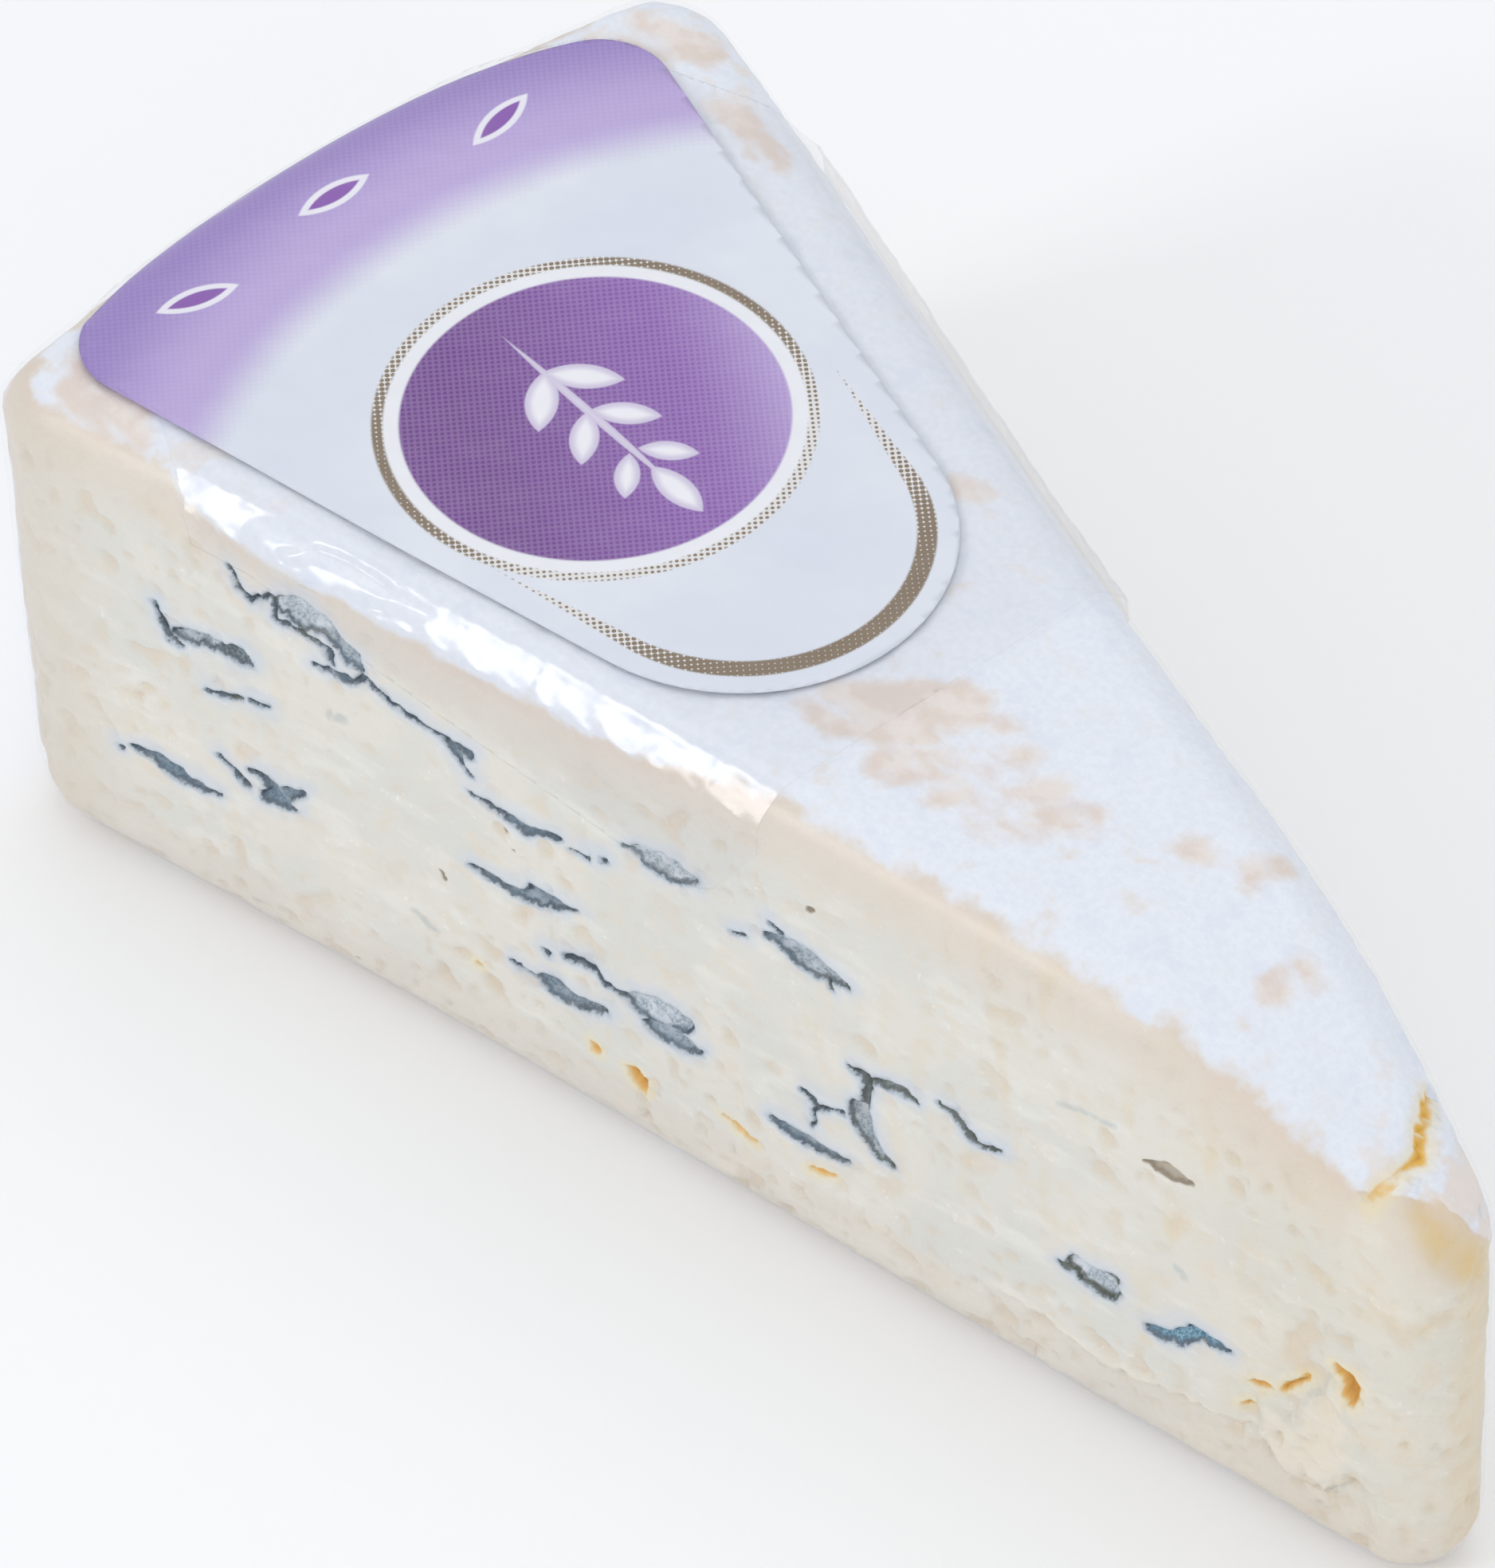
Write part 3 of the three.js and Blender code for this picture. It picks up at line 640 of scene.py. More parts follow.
relief += torn * (0.35 * grain(places, 1.5, 8.0) + 0.2 * grain(places, 0.7, 10.0) - 0.05)
relief -= CRACK_DEPTH * ease(-crack, -0.35, 0.25)
relief -= PATCH_DEPTH * ease(-patch, -0.5, 0.5)
relief *= ease(places[:, 2], 0.4, 2.2)
relief = np.minimum(relief, MOST_OUTWARDS)
move_spots(wedge, places + outwards * relief[:, None])


def keep_numbers(piece, name, values):
    """Stores a number, or three, at every vertex for the material to read."""
    kind, field = ("FLOAT_VECTOR", "vector") if values.ndim == 2 else ("FLOAT", "value")
    layer = piece.data.attributes.new(name, kind, "POINT")
    layer.data.foreach_set(field, values.astype(np.float32).ravel())


# The white rind reaches further down where the label's tabs press on it, and all along the far edge
along, up, front = face_places(places, NEAR_CUT)
near_reach = 2.2 * ease(along, 64.0, 78.0) * ease(-along, -113.0, -102.0) * ease(front, -9.0, -3.0)
along, up, front = face_places(places, FAR_CUT)
far_reach = 3.0 * ease(front, -9.0, -4.0)
top_depth -= np.maximum(near_reach, far_reach) * ease(places[:, 2], 25.0, 30.0)
# At the very tip it has worn off, and by the rim it is thin
worn_from = np.interp(places[:, 1], (-4.0, -2.8, 0.2, 1.5, 3.0), (-20.4, -19.9, -18.5, -15.9, -15.0))
top_depth += 3.5 * ease(places[:, 0] - worn_from, -0.6, 1.0)
rim_end = 0.5 * ease(-places[:, 0], 96.0, 112.0) * ease(outwards[:, 2], 0.2, 0.8)
thin = np.maximum(rim_end, ease(places[:, 0], -26.0, -17.0))

# The tip's upright edge has yellowed
tip_turn = np.where(tip_mask, TIP_RADIUS / math.tan(HALF_ANGLE) - round_tip(places)[0], 0.0)
yellow_tip = 0.6 * ease(tip_turn, 3.0, 7.5) * (1 - ease(tip_turn, 7.0, 11.7))
warm_tip = 0.17 * ease(places[:, 0], -38.0, -22.0)
stain_and_shade = np.maximum(1 - (1 - stain_and_shade) * (1 - warm_tip), yellow_tip)
lip_line = (1 - ease(np.abs(lip_gap - 0.25), 0.2, 0.7)) * lip_here
for name, values in (
        ("under_rind", np.column_stack((top_depth, base_height, rim_depth))), ("mould", mould),
        ("bloom", np.minimum(bloom, mould)), ("pale", pale), ("smudge", smudge),
        ("shaded", np.clip(shaded / 0.2, -1, 1)), ("tan", tan), ("ochre", np.minimum(ochre, crack)),
        ("patch", patch), ("torn", np.maximum(torn, lip_line)), ("stain_and_shade", stain_and_shade), ("thin", thin),
        ("pits", pits * cut_side)):
    keep_numbers(wedge, name, values)


def paint(red, green, blue):
    """A colour as a screen shows it, turned to the linear numbers that a shader takes."""
    linear = [((c / 255 + 0.055) / 1.055) ** 2.4 if c > 10 else c / 255 / 12.92 for c in (red, green, blue)]
    return (*linear, 1.0)


class Output:
    """What a node gives at each point. Where that is a number, it adds and multiplies like a plain one."""

    def __init__(self, tree, socket):
        self.tree = tree
        self.socket = socket

    def __add__(self, other):
        return calc("ADD", self, other)

    def __sub__(self, other):
        return calc("SUBTRACT", self, other)

    def __rsub__(self, other):
        return calc("SUBTRACT", other, self)

    def __mul__(self, other):
        return calc("MULTIPLY", self, other)

    __radd__ = __add__
    __rmul__ = __mul__

    def clamped(self):
        self.socket.node.use_clamp = True
        return self


def wire(node, values):
    """Links each value that another node gives to a socket, and sets any other."""
    for key, value in dict(values).items():
        if isinstance(value, Output):
            value.tree.links.new(value.socket, node.inputs[key])
        else:
            node.inputs[key].default_value = value


def put(tree, kind, values=(), output=0, **settings):
    """Adds a node and gives back one of its outputs."""
    made = tree.nodes.new(kind)
    for key, value in settings.items():
        setattr(made, key, value)
    wire(made, values)
    return Output(tree, made.outputs[output]) if made.outputs else made


def calc(operation, *values):
    tree = next(value.tree for value in values if isinstance(value, Output))
    return put(tree, "ShaderNodeMath", enumerate(values), operation=operation)


def larger(first, second):
    return calc("MAXIMUM", first, second)


def smaller(first, second):
    return calc("MINIMUM", first, second)


def fade(value, low, high):
    """0 at low and 1 at high, with a soft start and end. low may be the greater."""
    if low > high:
        return 1.0 - fade(value, high, low)
    values = {"Value": value, "From Min": low, "From Max": high}
    return put(value.tree, "ShaderNodeMapRange", values, interpolation_type="SMOOTHSTEP")


def mixed(share, first, second):
    return put(share.tree, "ShaderNodeMix", {0: share, 6: first, 7: second}, 2, data_type="RGBA")


def read(tree, name, output="Fac"):
    return put(tree, "ShaderNodeAttribute", output=output, attribute_name=name)


def split(value):
    """The three numbers of a place."""
    first = put(value.tree, "ShaderNodeSeparateXYZ", {0: value})
    return [Output(value.tree, socket) for socket in first.socket.node.outputs]


def in_millimetres(tree):
    where = put(tree, "ShaderNodeTexCoord", output="Object")
    return put(tree, "ShaderNodeMapping", {"Vector": where, "Scale": (1000.0, 1000.0, 1000.0)})


def cloud(where, size, detail=3.0, roughness=0.55, seed=0.0):
    """Noise from 0 to 1 with lumps of a size in millimetres."""
    values = {0: where, 1: (seed * 3.1, seed * 1.7, -seed)}
    moved = put(where.tree, "ShaderNodeVectorMath", values, operation="ADD")
    values = {"Vector": moved, "Scale": 1.0 / size, "Detail": detail, "Roughness": roughness}
    return put(where.tree, "ShaderNodeTexNoise", values)


def bare_material(name):
    """A material whose nodes are all to come."""
    material = bpy.data.materials.new(name)
    material.use_nodes = True
    material.node_tree.nodes.clear()
    return material, material.node_tree


def solid_material(name):
    material, tree = bare_material(name)
    surface = put(tree, "ShaderNodeBsdfPrincipled")
    put(tree, "ShaderNodeOutputMaterial", {"Surface": surface})
    return material, tree, surface.socket.node


PASTE_COOL = paint(220, 219, 212)
PASTE_WARM = paint(227, 223, 213)
PASTE_SMEAR = paint(235, 233, 226)
PASTE_LUMP = paint(228, 216, 197)
PASTE_PIT_SHADE = paint(222, 206, 184)
PASTE_CRUMB_HIGHLIGHT = paint(245, 243, 238)
PASTE_TORN = paint(240, 232, 217)
RIPE_LAYER = paint(223, 213, 200)
RIM_LAYER = paint(215, 205, 190)
YELLOW_STAIN_AND_SHADE = paint(224, 196, 140)
PINK_UNDER_RIND = paint(220, 202, 188)
RIND_DOWN = paint(228, 232, 241)
RIND_TIPS = paint(233, 237, 245)
RIND_HOLLOW_SHADE = paint(221, 227, 240)
HANDLED_DARK = paint(224, 204, 188)
HANDLED_PALE = paint(234, 221, 210)
TAN_EDGE = paint(150, 136, 116)
TAN_INSIDE = paint(188, 178, 160)
OCHRE_GLOW = paint(240, 224, 176)
OCHRE = paint(232, 184, 88)
OCHRE_DEEP = paint(208, 150, 46)
BLOOM = paint(202, 212, 227)
SMUDGE = paint(170, 182, 184)
MOULD_BLACK = paint(20, 40, 58)
MOULD_SLATE = paint(48, 70, 84)
MOULD_OLIVE = paint(74, 78, 62)
MOULD_BLUE = paint(26, 56, 78)
MOULD_TINGE = paint(140, 164, 184)
INSIDE_DARK = paint(66, 82, 92)
INSIDE_GREY = paint(120, 134, 142)
INSIDE_OLIVE = paint(104, 107, 92)
INSIDE_BLUE = paint(84, 124, 152)
FUZZ_GREY = paint(150, 165, 176)
FUZZ_PALE = paint(198, 207, 215)
FUZZ_WHITE = paint(216, 222, 229)
TEAL_DARK = paint(78, 128, 152)
TEAL_PALE = paint(138, 178, 198)


def cheese_material():
    material, tree, shader = solid_material("cheese")
    where = in_millimetres(tree)
    broad = cloud(where, 9.0, 1.0)
    lumps = cloud(where, 2.4, 3.0, seed=2.0)
    fine = cloud(where, 0.5, 2.0, seed=4.0)
    lump_swing = lumps - 0.5
    fine_swing = fine - 0.5
    top_under, base_over, rim_under = split(read(tree, "under_rind", "Vector"))
    ragged = lumps * 1.5 + fine * 0.6

    # Paste: cream, with soft paler and warmer smears
    values = {"Vector": where, "Rotation": (0, 0, -HALF_ANGLE), "Scale": (0.45, 1, 1.2)}
    drawn_out = put(tree, "ShaderNodeMapping", values)
    smear = cloud(drawn_out, 2.6, 2.0, seed=7.0)
    paste = mixed(fade(broad, 0.35, 0.62), PASTE_COOL, PASTE_WARM)
    paste = mixed(fade(smear, 0.5, 0.72) * 0.6, paste, PASTE_SMEAR)
    paste = mixed(fade(lumps, 0.54, 0.7) * 0.5, paste, PASTE_LUMP)
    # Pits are painted darker and warmer: painted shade in the hollows
    pit_shade = (read(tree, "pits") * 0.8).clamped()
    paste = mixed(pit_shade, paste, PASTE_PIT_SHADE)
    # Small paler specks: painted highlights on crumbs of the paste
    crumb_highlights = fade(fine, 0.62, 0.74) * fade(smear, 0.45, 0.6)
    paste = mixed(crumb_highlights * 0.55, paste, PASTE_CRUMB_HIGHLIGHT)
    paste = mixed(read(tree, "torn") * 0.6, paste, PASTE_TORN)

    # The ripe layer under the rind and above the base is more beige
    top_band = fade(top_under + ragged, 8.0, 3.0)
    base_band = fade(base_over + ragged, 8.6, 6.8)
    rim_band = fade(rim_under + ragged, 14.0, 2.5)
    ripe = larger(top_band, base_band * 0.6)
    colour = mixed(ripe * 0.85, paste, RIPE_LAYER)
    colour = mixed(rim_band * 0.8, colour, RIM_LAYER)
    # Yellow stains, and painted ochre shade in the folds and under the rind's curl at the tip
    stain_and_shade_share = (read(tree, "stain_and_shade") * (0.85 + lump_swing)).clamped()
    colour = mixed(stain_and_shade_share, colour, YELLOW_STAIN_AND_SHADE)

    # Rind: a velvet of white mould, thin and pinkish where the wheel was handled
    skin = smaller(smaller(top_under, rim_under), base_over + 0.25)
    scallops = lumps * 2.0 + fine * 0.5
    white = fade(skin + scallops, 2.2, 1.4)
    pink = fade(skin + scallops, 3.2, 2.0) * fade(broad, 0.3, 0.6)
    colour = mixed(pink * 0.5, colour, PINK_UNDER_RIND)
    velvet = mixed(fade(fine, 0.3, 0.7), RIND_DOWN, RIND_TIPS)
    # Soft patches of a bluer, darker white: painted shade, as in the hollows of the velvet
    velvet = mixed(fade(lumps, 0.42, 0.3) * 0.5, velvet, RIND_HOLLOW_SHADE)
    handled = mixed(fade(lumps, 0.4, 0.62), HANDLED_DARK, HANDLED_PALE)
    patch = read(tree, "patch") + ragged * 0.5
    worn = fade(patch, 1.8, 0.5) * fade(smear, 0.25, 0.5)
    thin = read(tree, "thin")
    mottle = fade(lumps + thin * 0.16, 0.58, 0.72) * (0.25 + thin * 0.55)
    velvet = mixed(larger(worn * 0.75, mottle), velvet, handled)
    colour = mixed(white, colour, velvet)

    # Tan and ochre holes
    tan_in = read(tree, "tan") + fine_swing * 0.2
    colour = mixed(fade(tan_in, 0.12, -0.05), colour, TAN_EDGE)
    colour = mixed(fade(tan_in, -0.08, -0.3), colour, TAN_INSIDE)
    ochre_in = read(tree, "ochre") + fine_swing * 0.2
    colour = mixed(fade(ochre_in, 1.0, 0.0) * 0.5, colour, OCHRE_GLOW)
    colour = mixed(fade(ochre_in, 0.18, -0.12), colour, OCHRE)
    colour = mixed(fade(ochre_in, -0.08, -0.4), colour, OCHRE_DEEP)

    # Blue mould: a pale bloom round each pocket, a thin dark slate edge, and grey fuzz inside
    flecks = cloud(where, 0.2, 1.0, seed=31.0)
    patches = cloud(where, 1.0, 1.0, seed=33.0)
    spread = read(tree, "bloom") + lump_swing * 2.0
    colour = mixed(fade(spread, 1.4, -0.2) * 0.6, colour, BLOOM)
    faint = read(tree, "smudge") + fine_swing * 0.6
    colour = mixed(fade(faint, 0.45, -0.1) * 0.5, colour, SMUDGE)
    edge = read(tree, "mould") + fine_swing * 0.4 + (flecks - 0.5) * 0.15
    dark = mixed(fade(patches, 0.38, 0.62), MOULD_BLACK, MOULD_SLATE)
    towards_tip = fade(split(where)[0], 8.0, 18.0)
    olive = larger(fade(lumps, 0.53, 0.68), towards_tip)
    dark = mixed(olive * 0.8, dark, MOULD_OLIVE)
    pale_number = read(tree, "pale")
    teal = fade(pale_number, 1.05, 1.5)
    slate = (0.8 - towards_tip).clamped() * fade(broad, 0.46, 0.58)
    bluer = larger(teal, slate)
    dark = mixed(bluer, dark, MOULD_BLUE)
    colour = mixed(fade(edge, 0.42, -0.02) * 0.5, colour, MOULD_TINGE)
    # Painted shade: the dark edge is darker, and reaches further in, on the shaded side of each pocket
    shaded = read(tree, "shaded")
    edge_dark_with_shade = (shaded * 0.25 + patches * 0.6 + 0.7).clamped()
    colour = mixed(fade(edge, 0.1, -0.05) * edge_dark_with_shade, colour, dark)
    pale = (pale_number + lump_swing * 1.2).clamped()
    mid = mixed(fade(flecks, 0.4, 0.6), INSIDE_DARK, INSIDE_GREY)
    mid = mixed(towards_tip * 0.7, mid, INSIDE_OLIVE)
    mid = mixed(bluer * 0.6, mid, INSIDE_BLUE)
    inward = edge + shaded * 0.08 - teal * 0.05
    colour = mixed(fade(inward, -0.1, -0.24) * 0.85, colour, mid)
    fuzz = mixed(fade(flecks, 0.36, 0.6), FUZZ_GREY, FUZZ_PALE)
    fuzz = mixed(fade(patches, 0.48, 0.66), fuzz, FUZZ_WHITE)
    fuzz = mixed(teal, fuzz, mixed(fade(flecks, 0.4, 0.6), TEAL_DARK, TEAL_PALE))
    colour = mixed(fade(inward, -0.15, -0.34) * pale, colour, fuzz)

    rough = put(tree, "ShaderNodeMapRange", {"Value": white, "To Min": 0.42, "To Max": 0.75})
    bump = put(tree, "ShaderNodeBump", {"Strength": 0.4, "Distance": 0.00015, "Height": fine})
    wire(shader, {"Base Color": colour, "Roughness": rough, "Normal": bump, "Specular IOR Level": 0.3})
    return material


def dress(piece, material):
    """Gives a piece its one material and smooth shading."""
    piece.data.materials.clear()
    piece.data.materials.append(material)
    pick(piece)
    bpy.ops.object.shade_smooth()


dress(wedge, cheese_material())
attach(wedge, "root")
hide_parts("cheese_wedge")

# Wrap: thin clear film drawn tight round the wedge, so that it clings to the rind and the cut faces.
# It spans the open pockets and gathers in small creases at the edges.
WRAP_GAP = 0.07
# Folds where the film's ends are gathered on the rim: how far round the rim, how high, and half the width
RIM_FOLDS = [
    ((-27.0, 3.0, 0.1), (-15.0, 16.0, 0.25), (-3.0, 29.0, 0.1)),
    ((-21.0, 2.0, 0.1), (-12.0, 10.5, 0.2), (-6.0, 18.0, 0.1)),
    ((27.0, 3.5, 0.1), (16.0, 15.0, 0.25), (5.0, 25.0, 0.1)),
    ((23.0, 37.0, 0.1), (13.0, 27.0, 0.25), (2.0, 21.0, 0.15), (-8.0, 16.0, 0.05)),
    ((-24.0, 36.5, 0.1), (-15.0, 30.0, 0.2), (-7.0, 26.0, 0.05)),
    ((18.0, 2.0, 0.1), (9.0, 8.0, 0.2), (-1.0, 12.0, 0.1)),
]
wrap = twin(bare_wedge, "wrap_film")
subdivide_where(wrap, lambda points: np.hypot(points[:, 0], points[:, 1]) > WHEEL_RADIUS - 1.5)
places = spots(wrap)
outwards = directions(wrap)
on_rim = ease(np.hypot(places[:, 0], places[:, 1]), WHEEL_RADIUS - 3, WHEEL_RADIUS - 1)
round_rim = np.arctan2(places[:, 1], -places[:, 0]) * WHEEL_RADIUS + 0.4 * grain(places, 4.0, 35.0)
up = places[:, 2] + 0.4 * grain(places, 4.0, 37.0)
rim_fold = stroke_field(round_rim, up, RIM_FOLDS)[0]
crease = np.abs(grain(places * (1, 1, 0.35), 5.0, 31.0))
crease = 0.045 * (1 - ease(crease, 0.0, 0.3))
under_label = ease(-places[:, 0], 58.0, 63.0) * ease(outwards[:, 2], 0.1, 0.5)
loose = 0.02 * (grain(places, 6.0, 33.0) + 1) + crease * (1 - under_label)
loose += on_rim * (0.35 * ease(-rim_fold, -0.8, 0.1) + 0.04 * ease(rim_fold, 0.0, 3.0))
loose = WRAP_GAP + loose * ease(places[:, 2], 1.0, 6.0)
places = places + outwards * loose[:, None]
places[:, 2] = np.maximum(places[:, 2], 0)
move_spots(wrap, places)


def clear_film_material(name, gloss_roughness, bump_strength, sheen_share, most_gloss):
    """Clear film: see-through head on, with a patchy gloss that grows towards the edges."""
    material, tree = bare_material(name)
    ripples = cloud(in_millimetres(tree), 2.4, 1.0, seed=12.0)
    values = {"Roughness": gloss_roughness}
    if bump_strength > 0:
        height = {"Strength": bump_strength, "Distance": 0.0003, "Height": ripples}
        values["Normal"] = put(tree, "ShaderNodeBump", height)
    gloss = put(tree, "ShaderNodeBsdfGlossy", values)
    clear = put(tree, "ShaderNodeBsdfTransparent", {"Color": (0.998, 0.998, 1.0, 1)})
    outer = 1.0 - put(tree, "ShaderNodeNewGeometry", output="Backfacing")
    sheen = put(tree, "ShaderNodeFresnel", {"IOR": 1.45}) * ((0.6 + ripples * 0.8) * sheen_share)
    film = put(tree, "ShaderNodeMixShader", {0: smaller(sheen * outer, most_gloss), 1: clear, 2: gloss})
    put(tree, "ShaderNodeOutputMaterial", {"Surface": film})
    return material


dress(wrap, clear_film_material("wrap_film", 0.32, 0.0, 0.7, 0.1))
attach(wrap, "root")

# Label print: inks laid on the label film, seen through its gloss. The field is a rounded wedge,
# white with a lilac sweep along the rim, with a round medallion and a sprig in plain shapes.
LABEL_TIP = (-80.0, -0.9)
LABEL_TIP_RADIUS = 13.2
LABEL_BACK = (-75.5, -2.0)
LABEL_BACK_RADIUS = 48.8
LABEL_CORNER_RADIUS = 5.0
PRINT_GAP = 0.2
PRINT_THICKNESS = 0.04


def lifted_skin(name, gap):
    """A copy of the bare wedge, grown outwards by a gap."""
    skin = twin(bare_wedge, name)
    move_spots(skin, spots(skin) + directions(skin) * gap)
    return skin


def mark(piece, number):
    """Gives every face one material number, to tell the pieces of a joint cut apart."""
    piece.data.materials.clear()
    piece.data.materials.append(None)
    piece.data.materials.append(None)
    numbers = np.full(len(piece.data.polygons), number, dtype=np.int32)
    piece.data.polygons.foreach_set("material_index", numbers)


def trim_to(skin, block):
    """Keeps only the part of a skin that lies inside a block, as an open sheet."""
    mark(skin, 0)
    mark(block, 1)
    run_modifier(skin, "BOOLEAN", operation="INTERSECT", object=block, solver="MANIFOLD")
    numbers = listed(skin.data.polygons, "material_index", kind=np.int32)
    select_parts(skin, "polygons", numbers == 1)
    bpy.ops.mesh.delete(type="FACE")
    set_mode("OBJECT")


def arc_points(centre, radius, first, last, steps):
    turns = [first + (last - first) * i / steps for i in range(steps + 1)]
    return [(centre[0] + radius * math.cos(turn), centre[1] + radius * math.sin(turn)) for turn in turns]


def rounded_outline():
    """The print's outline seen from above: round tip, straight sides, round corners and a bowed back."""
    tip_turn = math.pi / 2 - HALF_ANGLE
    middles = []
    for cut in (NEAR_CUT, FAR_CUT):
        inner = np.array(LABEL_TIP) + np.array(cut) * (LABEL_TIP_RADIUS - LABEL_CORNER_RADIUS) - LABEL_BACK
        middles.append(meet_circle(inner, cut, LABEL_BACK_RADIUS - LABEL_CORNER_RADIUS) + LABEL_BACK)
    near_turn, far_turn = [
        math.atan2(*(middle - LABEL_BACK)[::-1]) % (2 * math.pi) for middle in middles]
    outline = arc_points(LABEL_TIP, LABEL_TIP_RADIUS, -tip_turn, tip_turn, 28)
    outline += arc_points(middles[1], LABEL_CORNER_RADIUS, tip_turn, far_turn, 12)
    outline += arc_points(LABEL_BACK, LABEL_BACK_RADIUS, far_turn, near_turn, 40)[1:-1]
    outline += arc_points(middles[0], LABEL_CORNER_RADIUS, near_turn, 2 * math.pi - tip_turn, 12)
    return outline


def pulled_block(name, corners, travel):
    """A block on a flat outline: the outline is filled and pulled out."""
    mesh = bpy.data.meshes.new(name)
    places = [((x + WHEEL_X) * MM, y * MM, z * MM) for x, y, z in corners]
    mesh.from_pydata(places, [], [list(range(len(places)))])
    block = bpy.data.objects.new(name, mesh)
    bpy.context.collection.objects.link(block)
    pick(block)
    set_mode("EDIT")
    bpy.ops.mesh.select_all(action="SELECT")
    bpy.ops.mesh.extrude_region_move(TRANSFORM_OT_translate={"value": travel})
    bpy.ops.mesh.select_all(action="SELECT")
    bpy.ops.mesh.normals_make_consistent(inside=False)
    set_mode("OBJECT")
    return block


def outline_block(name, outline, low):
    """A block from a height to above the wheel, on an outline seen from above."""
    return pulled_block(name, [(x, y, low) for x, y in outline], (0, 0, (WHEEL_HEIGHT + 2 - low) * MM))


def print_block():
    return outline_block("print_block", rounded_outline(), WHEEL_HEIGHT - TOP_EDGE_RADIUS - 1)


label_print = lifted_skin("label_print", PRINT_GAP)
block = print_block()
trim_to(label_print, block)
bpy.data.objects.remove(block)


def circle_gap(across, up, centre, radius):
    """Millimetres outside a circle, and less inside it."""
    squares = [calc("POWER", value - middle, 2.0) for value, middle in zip((across, up), centre)]
    return calc("SQRT", squares[0] + squares[1]) - radius


def leaf_gap(across, up, middle, long, wide, turn):
    """A leaf: where two equal circles overlap."""
    radius = (long ** 2 + wide ** 2) / (4 * wide)
    offset = radius - wide / 2
    side = (-math.sin(turn) * offset, math.cos(turn) * offset)
    one = circle_gap(across, up, (middle[0] + side[0], middle[1] + side[1]), radius)
    two = circle_gap(across, up, (middle[0] - side[0], middle[1] - side[1]), radius)
    return larger(one, two)


FIELD_COOL = paint(222, 227, 238)
FIELD_WHITE = paint(231, 235, 243)
LILAC_PALE = paint(188, 166, 221)
LILAC_DEEP = paint(147, 119, 194)
HALFTONE_GAP = paint(232, 230, 230)
GOLD = paint(132, 114, 92)
VIOLET_DEEP = paint(106, 40, 138)
VIOLET = paint(138, 84, 176)
VIOLET_PALE = paint(196, 176, 226)
WHITE_RING = paint(240, 241, 246)
DOT_PALE = paint(236, 230, 246)
LEAF_EDGE = paint(214, 205, 228)
LEAF_PALE = paint(244, 243, 248)
LOZENGE_PALE = paint(240, 238, 247)


